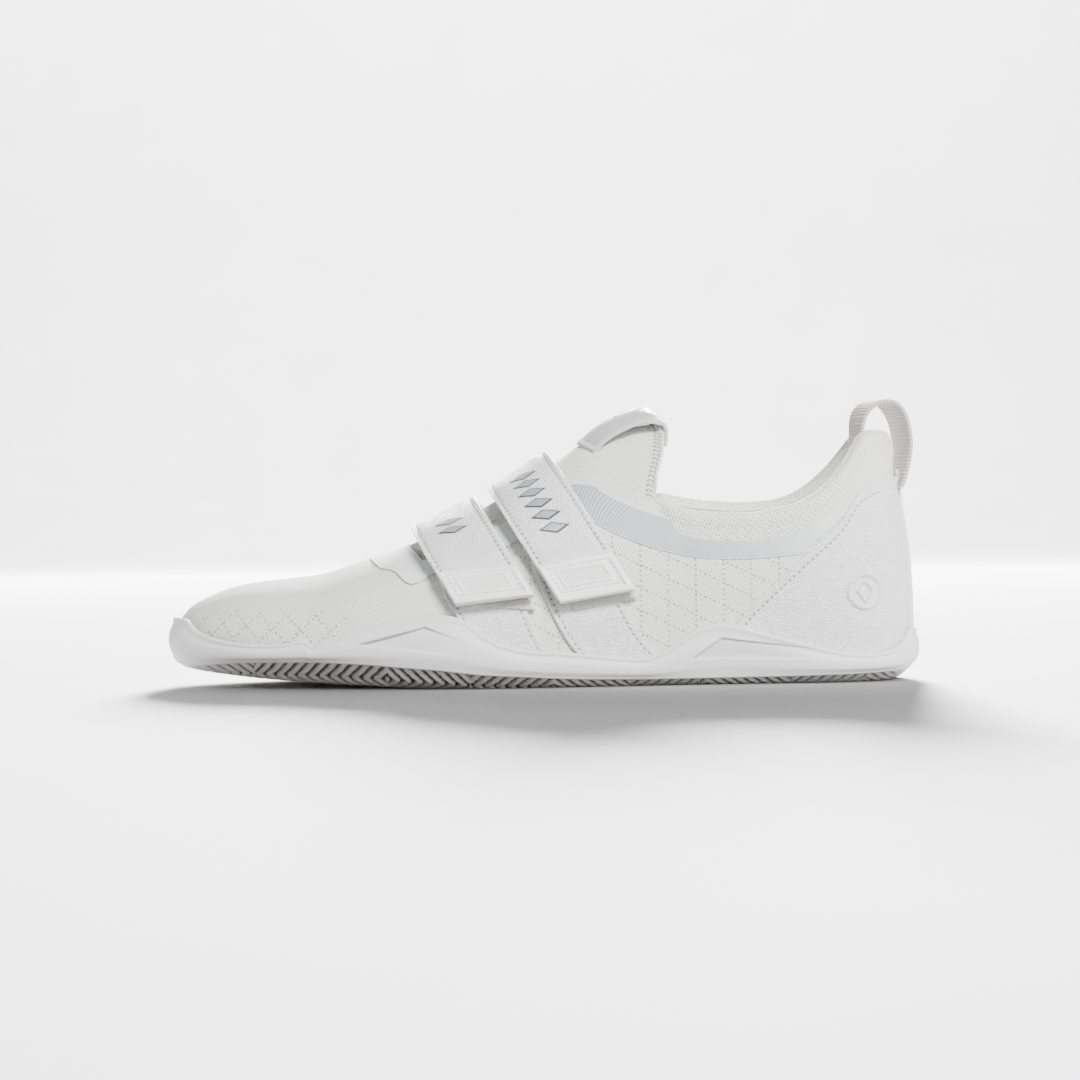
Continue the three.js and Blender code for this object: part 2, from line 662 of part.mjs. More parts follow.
// Straight line in the strap's plane through two points seen from the side: gives v at u.
function lineAcross(first, second) {
  const [[u0, v0], [u1, v1]] = graded([first, second]).map(([x, z]) => [uOf(x, z), vOf(x, z)]);
  return (u) => v0 + (v1 - v0) * (u - u0) / (u1 - u0);
}

const FOLD_ABOVE_TAB = 3.5;
const FRONT_CENTRE = uOf(...graded([[-37.8, 66.1]])[0]);
const straps = {
  front: {
    centre: FRONT_CENTRE,
    tabTop: lineAcross([-36.2, 43], [-10.3, 45.3]),
    end: lineAcross([-31.6, 32.1], [-3.4, 35]),
    hingeHeight: 44 * gradeZ,
    anchorTop: [[-38.3, 39.8], [-11.5, 50.5]],
    anchorFoot: [[-26.6, 23.8], [5.9, 14.3]],
  },
  rear: {
    centre: FRONT_CENTRE + STRAP_WIDTH + STRAP_GAP,
    tabTop: lineAcross([0.7, 45.1], [26.4, 50.1]),
    end: lineAcross([7.8, 32.6], [34.9, 37]),
    hingeHeight: 52 * gradeZ,
    anchorTop: [[-5.6, 51.8], [19.5, 59]],
    anchorFoot: [[18.8, 13.1], [48.6, 15.8]],
  },
};
for (const strap of Object.values(straps)) {
  strap.low = strap.centre - STRAP_WIDTH / 2;
  strap.high = strap.centre + STRAP_WIDTH / 2;
  strap.fold = (u) => strap.tabTop(u) + FOLD_ABOVE_TAB;
  const hingeX = (strap.centre - strap.hingeHeight * Math.sin(STRAP_TILT)) / Math.cos(STRAP_TILT);
  strap.hingeV = vOf(hingeX, strap.hingeHeight);
}

// A strap layer between two v-lines, either over the ridge or on one side.
function strapLayer(strap, columns, rows, from, to, outer, inner, edge = 0) {
  return shell(columns, rows, (i, j) => {
    const u = mix(strap.low + edge, strap.high - edge, i / columns);
    const psi = mix(psiAtV(u, from.v(u), from.side, outer), psiAtV(u, to.v(u), to.side, outer), j / rows);
    return [strapPoint(u, psi, outer), strapPoint(u, psi, inner)];
  });
}

const lateralAt = (v) => ({ v, side: LATERAL });
const medialAt = (v) => ({ v, side: MEDIAL });

const spanGeometry = (s) => strapLayer(
  s, 3, 18, lateralAt((u) => s.fold(u) + HINGE_GAP / 2), medialAt(() => s.hingeV), strapOut, strapIn);
const endGeometry = (s) => strapLayer(
  s, 4, 5, lateralAt(s.end), lateralAt((u) => s.fold(u) - HINGE_GAP / 2), strapOut, strapIn);
const tabGeometry = (s) => strapLayer(
  s, 4, 4, lateralAt((u) => s.end(u) - 1), lateralAt(s.tabTop), tabOut, tabIn, 0.4);
const hookGeometry = (s) => strapLayer(
  s, 4, 4, lateralAt((u) => s.end(u) + 0.6), lateralAt((u) => s.tabTop(u) - 0.5), hookOut, hookIn, 1.5);

// Sewn-down end of a strap, below its hinge on the medial side. It ends above the rubber lip.
const SEWN_LENGTH = 12;
const LIP_CLEARANCE = 1;
function aboveLip(u) {
  let z = 0;
  for (let k = 0; k < 6; k++) {
    const x = (u - z * Math.sin(STRAP_TILT)) / Math.cos(STRAP_TILT);
    z = rimHeight(x) + LIP_CLEARANCE;
  }
  return (z - u * Math.sin(STRAP_TILT)) / Math.cos(STRAP_TILT);
}
const foldGeometry = (s) => {
  const start = s.hingeV - HINGE_GAP;
  const stop = (u) => Math.max(start - SEWN_LENGTH, aboveLip(u));
  return strapLayer(s, 3, 4, medialAt(() => start), medialAt(stop), strapOut, pileIn);
};

// Panels between corners seen from the side.
function cornerPanel(side, topPair, footPair, outer, inner) {
  const [topToe, topHeel] = graded(topPair);
  const [footToe, footHeel] = graded(footPair);
  return panel(4, 7, (a, b) => {
    const share = sideOrder(side, a);
    const x = mix(mix(footToe[0], footHeel[0], share), mix(topToe[0], topHeel[0], share), b);
    const z = mix(mix(footToe[1], footHeel[1], share), mix(topToe[1], topHeel[1], share), b);
    const low = seat(locate(x, z)[0]);
    const foot = Math.max(mix(footToe[1], footHeel[1], share), low);
    return onSide(side, locate(x, mix(Math.min(foot, low), z, b)));
  }, outer, inner);
}

const anchorGeometry = (s, side) => cornerPanel(side, s.anchorTop, s.anchorFoot, panelOut, panelIn);
function pileGeometry(s) {
  const margin = 2;
  const raise = (pair, by) => pair.map(([x, z], k) => [x + (k === 0 ? margin : -margin), z + by]);
  const middle = s.anchorTop.map(([x, z], k) => [
    mix(x, s.anchorFoot[k][0], 0.62),
    mix(z, s.anchorFoot[k][1], 0.62),
  ]);
  const [topToe, topHeel] = graded(raise(s.anchorTop, -1));
  const [footToe, footHeel] = graded(raise(middle, 0));
  return panel(4, 4, (a, b) => {
    const x = mix(mix(footToe[0], footHeel[0], a), mix(topToe[0], topHeel[0], a), b);
    const z = mix(mix(footToe[1], footHeel[1], a), mix(topToe[1], topHeel[1], a), b);
    return locate(x, z);
  }, pileOut, pileIn);
}

// ---------- materials ----------
const finish = (color, roughness, metalness = 0) =>
  new THREE.MeshStandardMaterial({ color, roughness, metalness });
const knit = finish(0xeeede9, 0.9);
const leather = finish(0xdfe1e2, 0.5);
const rubber = finish(0xe2e1df, 0.6);
const smoothFilm = finish(0xe0e1e1, 0.45);
const silver = finish(0xb9c0c6, 0.35, 0.4);
const foam = finish(0xf1efe8, 0.85);
const fibreBoard = finish(0xd9d5c8, 0.9);
const lining = finish(0xe9e9e4, 0.9);
const moulded = finish(0xf1f0ec, 0.35);
const tape = finish(0xe2e0dc, 0.95);
const webbing = finish(0xdcd5cf, 0.8);

// ---------- assembly ----------
const shoe = new THREE.Group();
function add(name, geometry, material) {
  const mesh = new THREE.Mesh(geometry, material);
  mesh.name = name;
  shoe.add(mesh);
}

const insoleOut = counterIn - GAP - LINING - 2 * GAP;
const strobelTop = SOLE_STACK + STROBEL;
add("outsole", outsoleGeometry(), rubber);
add("midsole_foam", board(cupIn - CUP_GAP - GAP, OUTSOLE + GAP, OUTSOLE + GAP + MIDSOLE), foam);
add("strobel_board", board(-KNIT - CUP_GAP, SOLE_STACK, strobelTop), fibreBoard);
add("insole", board(insoleOut, strobelTop + GAP, strobelTop + GAP + INSOLE), foam);
const insoleTop = strobelTop + 2 * GAP + INSOLE;
add("insole_cover", board(insoleOut, insoleTop, insoleTop + COVER), lining);

add("knit_upper", knitGeometry(), knit);
add("instep_film", filmGeometry(), smoothFilm);
add("toe_puff", puffGeometry(), fibreBoard);
add("heel_counter", counterGeometry(), fibreBoard);
add("collar_foam", padGeometry(), foam);
add("collar_lining", liningGeometry(), lining);
for (const [label, side] of [["lateral", LATERAL], ["medial", MEDIAL]]) {
  add("reflective_band_" + label, bandGeometry(side), silver);
  add("heel_overlay_" + label, heelOverlayGeometry(side), leather);
}
add("heel_backstay", backstayGeometry(), leather);
add("heel_pull_loop", heelLoopGeometry(), webbing);

add("tongue", tongueGeometry(), knit);
add("tongue_top", tongueTopGeometry(), knit);
add("tongue_pull_loop", tonguePullGeometry(), leather);

for (const [label, strap] of Object.entries(straps)) {
  add(label + "_strap", spanGeometry(strap), leather);
  add(label + "_strap_end", endGeometry(strap), leather);
  add(label + "_strap_tab", tabGeometry(strap), moulded);
  add(label + "_strap_hook", hookGeometry(strap), tape);
  add(label + "_strap_fold", foldGeometry(strap), leather);
  add(label + "_loop_pile", pileGeometry(strap), tape);
  add(label + "_anchor_lateral", anchorGeometry(strap, LATERAL), leather);
  add(label + "_anchor_medial", anchorGeometry(strap, MEDIAL), leather);
}

export default shoe;
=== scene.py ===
"""Looks of a low training shoe for the left foot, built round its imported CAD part.

Lengths are millimetres until a mesh is made. The toe points to -X, the outer side to -Y, and +Z is up.
"""
import json
import math

import bpy
import numpy as np
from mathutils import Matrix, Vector


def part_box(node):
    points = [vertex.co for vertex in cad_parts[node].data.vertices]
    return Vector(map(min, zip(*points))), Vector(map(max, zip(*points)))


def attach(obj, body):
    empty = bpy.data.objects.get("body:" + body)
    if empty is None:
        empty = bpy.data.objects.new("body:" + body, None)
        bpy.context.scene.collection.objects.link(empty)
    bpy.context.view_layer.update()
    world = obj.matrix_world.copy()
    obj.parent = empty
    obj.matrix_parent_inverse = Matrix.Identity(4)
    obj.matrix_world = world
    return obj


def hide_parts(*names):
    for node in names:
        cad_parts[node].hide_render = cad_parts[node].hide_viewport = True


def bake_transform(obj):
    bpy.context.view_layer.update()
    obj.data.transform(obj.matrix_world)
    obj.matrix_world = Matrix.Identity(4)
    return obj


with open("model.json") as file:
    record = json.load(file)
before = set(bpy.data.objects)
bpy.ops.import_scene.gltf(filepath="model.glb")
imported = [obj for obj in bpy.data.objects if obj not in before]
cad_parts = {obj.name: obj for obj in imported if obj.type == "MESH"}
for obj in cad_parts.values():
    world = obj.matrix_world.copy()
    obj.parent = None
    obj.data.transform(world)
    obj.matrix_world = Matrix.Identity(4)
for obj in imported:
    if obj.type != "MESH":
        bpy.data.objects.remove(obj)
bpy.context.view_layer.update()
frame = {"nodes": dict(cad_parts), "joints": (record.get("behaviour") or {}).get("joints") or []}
MM = 0.001
rng = np.random.default_rng(7)


def box_mm(node):
    low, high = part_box(node)
    return np.array(low) / MM, np.array(high) / MM


def stack(*values):
    """Points, or other rows of numbers, from one array for each coordinate."""
    return np.stack(np.broadcast_arrays(*values), -1)


# ---------- the last: the same surface that the CAD layers lie on ----------
SOLE_LOW, SOLE_HIGH = box_mm("outsole")
KNIT, WALL_OUT = 1.6, 3.75
HALF_LENGTH = (SOLE_HIGH[0] - SOLE_LOW[0]) / 2 - WALL_OUT
HALF_WIDTH = (SOLE_HIGH[1] - SOLE_LOW[1]) / 2 - WALL_OUT
DRAWN_HALF_LENGTH, DRAWN_HALF_WIDTH = 141.6, 50.6
GRADE_X = HALF_LENGTH / DRAWN_HALF_LENGTH
GRADE_Y = HALF_WIDTH / DRAWN_HALF_WIDTH
SOLE_STACK = 7.7
COLLAR_HEIGHT = 96.0

# Foot outline at the sole, from toe tip to heel tip: x, lateral y, ridge y, medial y.
OUTLINE = np.array([
    [-141.6, 8, 8, 8], [-140, -2, 8, 17], [-134.8, -12.5, 8, 26.5], [-124.5, -23.5, 8, 35.5],
    [-108, -34.3, 7, 43.5], [-87, -42.3, 6, 48.3], [-64, -48.2, 5, 50.6], [-38, -50.6, 4, 47.7],
    [-10, -48.6, 3, 40.7], [20, -42.7, 2, 34.2], [50, -37.2, 1, 30.7], [80, -34.2, 0, 31.2],
    [106, -32.1, 0, 31.6], [124.5, -26.3, 0, 26.8], [135, -17.5, 0, 18.3], [140.1, -8.6, 0, 9],
    [141.6, 0, 0, 0],
])
HEEL = len(OUTLINE) - 1
ROUND = 2 * HEEL
LATERAL, MEDIAL = -1, 1


def curve(points):
    """Smooth curve through points [x, value] that never overshoots, level past both ends."""
    xs, values = np.array(points, float).T
    rate = np.diff(values) / np.diff(xs)
    product, total = rate[:-1] * rate[1:], rate[:-1] + rate[1:]
    slope = np.zeros(len(xs))
    slope[1:-1] = np.where(product > 0, 2 * product / np.where(total == 0, 1, total), 0)

    def at(x):
        x = np.clip(np.asarray(x, float), xs[0], xs[-1])
        i = np.clip(np.searchsorted(xs, x, side="right") - 1, 0, len(xs) - 2)
        span = xs[i + 1] - xs[i]
        t = (x - xs[i]) / span
        rise = values[i + 1] - values[i]
        m0, m1 = slope[i] * span, slope[i + 1] * span
        return values[i] + t * (m0 + t * (3 * rise - 2 * m0 - m1 + t * (m0 + m1 - 2 * rise)))

    return at


def graded(points):
    """Points [x, value] drawn at the reference length, moved to this shoe's length."""
    return [[x * GRADE_X, value] for x, value in points]


def smooth(x, low, high):
    t = np.clip((np.asarray(x, float) - low) / (high - low), 0, 1)
    return t * t * (3 - 2 * t)


def mix(a, b, t):
    return a + (b - a) * t


def catmull(a, b, c, d, t):
    """Catmull-Rom between b and c."""
    return 0.5 * (2 * b + t * (c - a + t * (2 * a - 5 * b + 4 * c - d + t * (3 * b - a - 3 * c + d))))


ridge_height = curve(graded([
    [-141.6, 26.8], [-139.6, 29.2], [-137, 31.4], [-132, 33.9], [-124.5, 36.7], [-116.7, 38.6],
    [-108.5, 39.8], [-100, 40.6], [-85.7, 42.4],
    [-70.2, 47.2], [-54.6, 51.7], [-21, 67.8], [7.7, 85.5], [15, 91], [25, 95.5], [36, 98], [46, 99.5],
    [60, 109], [80, 115], [100, 118],
]))
bottom_height = curve(graded([
    [-145, 8.6], [-137, 7.2], [-128, 6], [-107, 3.7], [-84, 2.1], [-68, 1.2], [-40, 0], [145, 0]]))
rim_height = curve(graded([
    [-143, 26.2], [-138.6, 25.8], [-134.3, 22.5], [-130, 20.6], [-122, 18.5], [-106, 16.9], [-98, 17.1],
    [-88.7, 18.5], [-85.2, 16.6], [-82.5, 17.9], [-67.7, 22.3], [-56.3, 25.1], [-45.8, 26.9], [-37.6, 27.3],
    [-30.9, 26.3], [-22.6, 20.8], [-15.2, 16.6], [-5.2, 14.1], [5.8, 13.4], [18.7, 12.1], [38, 10.4],
    [47.7, 14.3], [54.1, 18.3], [59.3, 21.2], [67, 22.8], [74.8, 21.4], [82.4, 19.2], [95.4, 15.7],
    [106.7, 12.8], [118, 10.9], [124, 10.7], [132, 11.5], [137, 13.5], [140, 16.5], [142, 19.4],
]))
fullness = curve(graded([[-130, 2.15], [-55, 2.1], [-20, 1.85], [20, 1.85], [50, 2.1], [90, 2.4]]))
heel_lean = curve([
    [20, 0], [44, -0.8], [57, -2.4], [68.5, -4], [76, -4.7], [83, -5.2], [90, -6.4], [96, -8.4]])
toe_share = curve(graded([[-141.6, 1], [-110, 0]]))
heel_share = curve(graded([[85, 0], [141.6, 1]]))
TOE_LEAN = 0.12

LAP = np.array([
    [row[0] * GRADE_X, row[1 if k <= HEEL else 3] * GRADE_Y, row[2] * GRADE_Y]
    for k in range(ROUND) for row in [OUTLINE[k if k <= HEEL else ROUND - k]]])


def outline(tau):
    tau = np.asarray(tau, float)
    i = np.floor(tau).astype(int)
    t = (tau - i)[..., None]
    p = catmull(*(LAP[(i + k) % ROUND] for k in (-1, 0, 1, 2)), t)
    return p[..., 0], p[..., 1], p[..., 2]


def base_height(x):
    return bottom_height(x) + SOLE_STACK


def last_point(tau, q):
    """The knit's outer face: tau runs round the outline, and q from 0 at the sole to 1 at the ridge."""
    x, y, ridge = outline(tau)
    foot = base_height(x)
    power = 2 / fullness(x)
    angle = np.clip(q, 0, 1) * math.pi / 2
    z = foot + (ridge_height(x) - foot) * np.sin(angle) ** power
    wide = np.maximum(np.cos(angle), 0) ** power
    lean = toe_share(x) * TOE_LEAN * (z - foot) + heel_share(x) * heel_lean(z)
    return stack(x + lean, ridge + (y - ridge) * wide, z)


def unit(v):
    return v / np.maximum(np.linalg.norm(v, axis=-1, keepdims=True), 1e-12)


def last_normal(tau, q, step=1e-3):
    q = np.clip(q, 0, 1)
    along = last_point(tau + step, q) - last_point(tau - step, q)
    up = last_point(tau, np.minimum(q + step, 1)) - last_point(tau, np.maximum(q - step, 0))
    return unit(np.cross(along, up))


def offset_point(tau, q, out):
    tau, q, out = np.broadcast_arrays(*(np.asarray(v, float) for v in (tau, q, out)))
    return last_point(tau, q) + last_normal(tau, q) * out[..., None]


def crossing(tau, psi):
    """psi crosses the shoe at one station: 0 at the lateral sole, 1 at the ridge, 2 at the medial sole."""
    tau, psi = np.broadcast_arrays(np.asarray(tau, float), np.asarray(psi, float))
    return np.where(psi <= 1, tau, ROUND - tau), np.where(psi <= 1, psi, 2 - psi)


def q_at_height(tau, z):
    x = outline(tau)[0]
    foot = base_height(x)
    share = np.clip((z - foot) / (ridge_height(x) - foot), 0, 1)
    return np.arcsin(share ** (fullness(x) / 2)) * 2 / math.pi


STATION_TABLE = np.linspace(0, HEEL, 4001)
STATION_X = np.maximum.accumulate(outline(STATION_TABLE)[0])


def station_at(x):
    return np.interp(x, STATION_X, STATION_TABLE)


def locate(x, z):
    """Station tau and q of points seen from the side at (x, z)."""
    x, z = np.broadcast_arrays(np.asarray(x, float), np.asarray(z, float))
    aim = x.copy()
    for _ in range(12):
        tau = station_at(aim)
        q = q_at_height(tau, z)
        aim = aim + (x - last_point(tau, q)[..., 0])
    return station_at(aim), q_at_height(station_at(aim), z)


def on_side(side, tau):
    return tau if side == LATERAL else ROUND - tau


def arc(points):
    """Running length along the first axis of a row of points."""
    steps = np.linalg.norm(np.diff(points, axis=0), axis=-1)
    return np.concatenate([np.zeros((1,) + steps.shape[1:]), np.cumsum(steps, 0)])


# ---------- lines of the upper, seen from the side ----------
throat_edge = curve(graded([
    [-52, 47.4], [-44.7, 47.6], [-17.1, 60.2], [-13.6, 61.9], [8, 74.5], [14, 75.6], [19, 75], [27, 70.4],
    [41, 70.4]]))
collar_top = {
    LATERAL: curve(graded([
        [38, 74.4], [45, 70.3], [56.3, 66], [67.6, 64.8], [78.9, 64.6], [90.2, 66.4], [97.8, 68.8],
        [103.5, 72.2], [109.2, 77.8], [114.9, 84.8], [119.5, 90.8], [123.5, 94.4], [129, 96]])),
    MEDIAL: curve(graded([
        [38, 76.4], [45, 74.3], [56.3, 71.4], [67.6, 69.9], [78.9, 69.2], [90.2, 69.8], [97.8, 72],
        [103.5, 75.4], [109.2, 80.4], [114.9, 86.6], [119.5, 91.6], [123.5, 94.6], [129, 96]])),
}
ROLL_DROP = 4.0
COLLAR_START = 41 * GRADE_X
THROAT_START = 6.5


def knit_edge(tau, side):
    """Height of the knit's upper edge, below the collar's roll, at a station from toe to heel."""
    x = outline(tau)[0]
    top = collar_top[side](x + heel_share(x) * heel_lean(COLLAR_HEIGHT))
    rolled = mix(throat_edge(COLLAR_START), top - ROLL_DROP, np.clip((x - COLLAR_START) / 8, 0, 1))
    return np.where(x <= COLLAR_START, throat_edge(x), rolled)


# ---------- meshes ----------
def grid_quads(n, m, close_n=False, close_m=False, has=None):
    i, j = np.meshgrid(np.arange(n if close_n else n - 1), np.arange(m if close_m else m - 1), indexing="ij")
    if has is not None:
        keep = has[:i.shape[0], :j.shape[1]]
        i, j = i[keep], j[keep]
    i, j = i.ravel(), j.ravel()
    i2, j2 = (i + 1) % n, (j + 1) % m
    return np.stack([i * m + j, i2 * m + j, i2 * m + j2, i * m + j2], -1)


def border_quads(quads, shift):
    """Quads that join a sheet's free edges to those of its copy, whose vertices are shift further on."""
    edges = np.concatenate([quads[:, [k, (k + 1) % 4]] for k in range(4)])
    edges = edges[edges[:, 0] != edges[:, 1]]
    code = edges.min(1).astype(np.int64) * shift + edges.max(1)
    _, first, count = np.unique(code, return_index=True, return_counts=True)
    free = edges[first[count == 1]]
    return np.stack([free[:, 1], free[:, 0], free[:, 0] + shift, free[:, 1] + shift], -1)


def make(name, points, quads, look, body, uv=None, marks=None, replaces=(), slot=None, sharp=38):
    """A piece from points in millimetres, less those that no quad uses."""
    used, quads = np.unique(quads, return_inverse=True)
    quads = quads.reshape(-1, 4)
    points = np.asarray(points, float).reshape(-1, 3)[used]
    mesh = bpy.data.meshes.new(name)
    corners = [list(dict.fromkeys(quad)) for quad in quads.tolist()]
    mesh.from_pydata((points * MM).tolist(), [], [face for face in corners if len(face) > 2])
    if uv is not None:
        layer = mesh.uv_layers.new(name="millimetres")
        vertex = np.zeros(len(mesh.loops), np.int32)
        mesh.loops.foreach_get("vertex_index", vertex)
        layer.data.foreach_set("uv", np.asarray(uv, np.float32).reshape(-1, 2)[used][vertex].ravel())
    for mark, values in (marks or {}).items():
        field = mesh.attributes.new(mark, "FLOAT", "POINT")
        field.data.foreach_set("value", np.asarray(values, np.float32).ravel()[used])
    mesh.validate()
    mesh.polygons.foreach_set("use_smooth", [True] * len(mesh.polygons))
    mesh.set_sharp_from_angle(angle=math.radians(sharp))
    mesh.materials.append(look)
    piece = bpy.data.objects.new(name, mesh)
    bpy.context.scene.collection.objects.link(piece)
    if body:
        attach(piece, body)
    if replaces:
        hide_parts(*replaces)
    return piece


def shell(name, outer, inner, look, body, has=None, uv=None, marks=None, **more):
    """A closed sheet between two grids of points."""
    n, m = outer.shape[:2]
    front = grid_quads(n, m, has=has)
    back = front[:, ::-1] + n * m
    quads = np.concatenate([front, back, border_quads(front, n * m)])
    points = np.concatenate([outer.reshape(-1, 3), inner.reshape(-1, 3)])
    both = None if uv is None else np.concatenate([np.reshape(uv, (-1, 2))] * 2)
    marks = {k: np.concatenate([np.ravel(v)] * 2) for k, v in (marks or {}).items()}
    return make(name, points, quads, look, body, uv=both, marks=marks, **more)


def loft(name, rings, look, body, uv=None, marks=None, **more):
    """A closed body swept through rings of points, flat at both ends."""
    n, m = rings.shape[:2]
    quads = grid_quads(n, m, close_m=True)
    points = np.concatenate([rings.reshape(-1, 3), rings[[0, -1]].mean(1)])
    first, last, j = n * m, n * m + 1, np.arange(m)
    k = (j + 1) % m
    caps = [np.stack([j, k, np.full(m, first), j], -1),
            np.stack([(n - 1) * m + k, (n - 1) * m + j, np.full(m, last), (n - 1) * m + k], -1)]
    ends = [[0, 0], [0, 0]]
    if uv is not None:
        uv = np.concatenate([np.reshape(uv, (-1, 2)), ends])
    if marks:
        marks = {key: np.concatenate([np.ravel(v), [0, 0]]) for key, v in marks.items()}
    return make(name, points, np.concatenate([quads] + caps), look, body, uv=uv, marks=marks, **more)


def edge_steps(length, count, radius):
    """Shares from 0 to 1 of a length, close together at its rounded ends, and each one's edge distance."""
    near = radius * np.array([0, 0.06, 0.22, 0.5, 0.8, 1.1])
    middle = np.linspace(near[-1], length - near[-1], count + 1)
    along = np.concatenate([near[:-1], middle, (length - near[:-1])[::-1]])
    return along / length, np.minimum(along, length - along)


def rounding(distance, radius):
    share = np.clip(distance / radius, 0, 1)
    return np.sqrt(np.clip(1 - (1 - share) ** 2, 0, 1))


def edged_panel(name, place, size, counts, thickness, look, sink=0.0, radius=0.7, detail=None, marks=None,
                **more):
    """A panel over the last with rounded borders. place(a, b) gives tau and q for shares along and up it."""
    a, edge_a = edge_steps(size[0], counts[0], radius)
    b, edge_b = edge_steps(size[1], counts[1], radius)
    a_grid, b_grid = np.meshgrid(a, b, indexing="ij")
    edge = np.minimum(edge_a[:, None], edge_b[None, :])
    tau, q = place(a_grid, b_grid)
    out = sink + (thickness - sink) * rounding(edge, radius)
    middle = last_point(tau, q)
    u, v = a_grid * size[0], b_grid * size[1]
    if detail is not None:
        out = out + detail(u, v, edge, middle)
    outer = offset_point(tau, q, out)
    inner = offset_point(tau, q, sink - 0.3)
    fields = {mark: field(u, v, edge, middle) for mark, field in (marks or {}).items()}
    return shell(name, outer, inner, look, "shoe", uv=stack(u, v), marks=fields, **more)


def read_path(at, length, path):
    return np.stack([np.interp(at, length, path[:, k]) for k in range(3)], -1)


def resample(path, pitch, phase=0.5):
    """Points every pitch along a path, and the path's direction at each."""
    path = np.asarray(path, float)
    length = arc(path)
    count = max(int(length[-1] / pitch), 1)
    at = (np.arange(count) + phase) * length[-1] / count
    ahead = read_path(at + 0.2, length, path) - read_path(at - 0.2, length, path)
    return read_path(at, length, path), unit(ahead)


def bead(sides=6, rings=5):
    """Points and quads of a unit lozenge-ended bead along +X."""
    a = np.linspace(-1, 1, rings)
    radius = np.sqrt(np.clip(1 - np.abs(a) ** 3, 0.02, 1))
    turn = np.arange(sides) * 2 * math.pi / sides
    points = stack(a[:, None], radius[:, None] * np.cos(turn), radius[:, None] * np.sin(turn))
    return points.reshape(-1, 3), grid_quads(rings, sides, close_m=True)


def stitches(name, rows, look, body, pitch=2.3, length=1.5, radius=0.26, slant=0.0, lift=0.05, phase=0.5,
             **more):
    """Thread stitches along rows, each a pair of a path and the normals at its points."""
    shape, quads = bead()
    points, faces = [], []
    for path, normals in rows:
        centres, ahead = resample(path, pitch, phase)
        normal = unit(read_path(np.linspace(0, 1, len(centres)), np.linspace(0, 1, len(path)), normals))
        side = unit(np.cross(normal, ahead))
        ahead = unit(ahead + side * slant)
        side = unit(np.cross(normal, ahead))
        for c, t, s, w in zip(centres, ahead, side, normal):
            points.append(c + w * lift + shape[:, :1] * t * length / 2 + shape[:, 1:2] * s * radius
                          + shape[:, 2:] * w * radius * 0.8)
            faces.append(quads + len(shape) * len(faces))
    return make(name, np.concatenate(points), np.concatenate(faces), look, body, sharp=180, **more)


def seam(name, rows, body, fold=None, pitch=2.3, radius=0.24, **more):
    """Sewing along rows: the thread, and dark beads of painted shade for the needle holes between its
    stitches.
    """
    thread = stitches(name + "_thread", rows, THREAD, body, pitch=pitch, length=pitch * 0.62, radius=radius,
                      **more)
    # the hole beads are painted shade between the stitches
    holes = stitches(name + "_holes", rows, HOLE_SHADE, body, pitch=pitch, length=pitch * 0.42, radius=radius * 1.3,
                     lift=0.02, phase=0.02, **more)
    if fold:
        fold(thread)
        fold(holes)


def tube(name, path, radius, look, body, sides=10, **more):
    path = np.asarray(path, float)
    ahead = unit(np.gradient(path, axis=0))
    side = unit(np.cross(ahead, [0.13, 0.2, 1.0]))
    up = np.cross(side, ahead)
    turn = np.arange(sides) * 2 * math.pi / sides
    rings = path[:, None] + radius * (np.cos(turn)[None, :, None] * side[:, None]
                                      + np.sin(turn)[None, :, None] * up[:, None])
    return loft(name, rings, look, body, uv=stack(arc(path)[:, None], turn[None, :] * radius), **more)


# ---------- materials ----------
def paint(*srgb):
    return tuple(c / 12.92 if c <= 0.04045 else ((c + 0.055) / 1.055) ** 2.4 for c in srgb) + (1.0,)


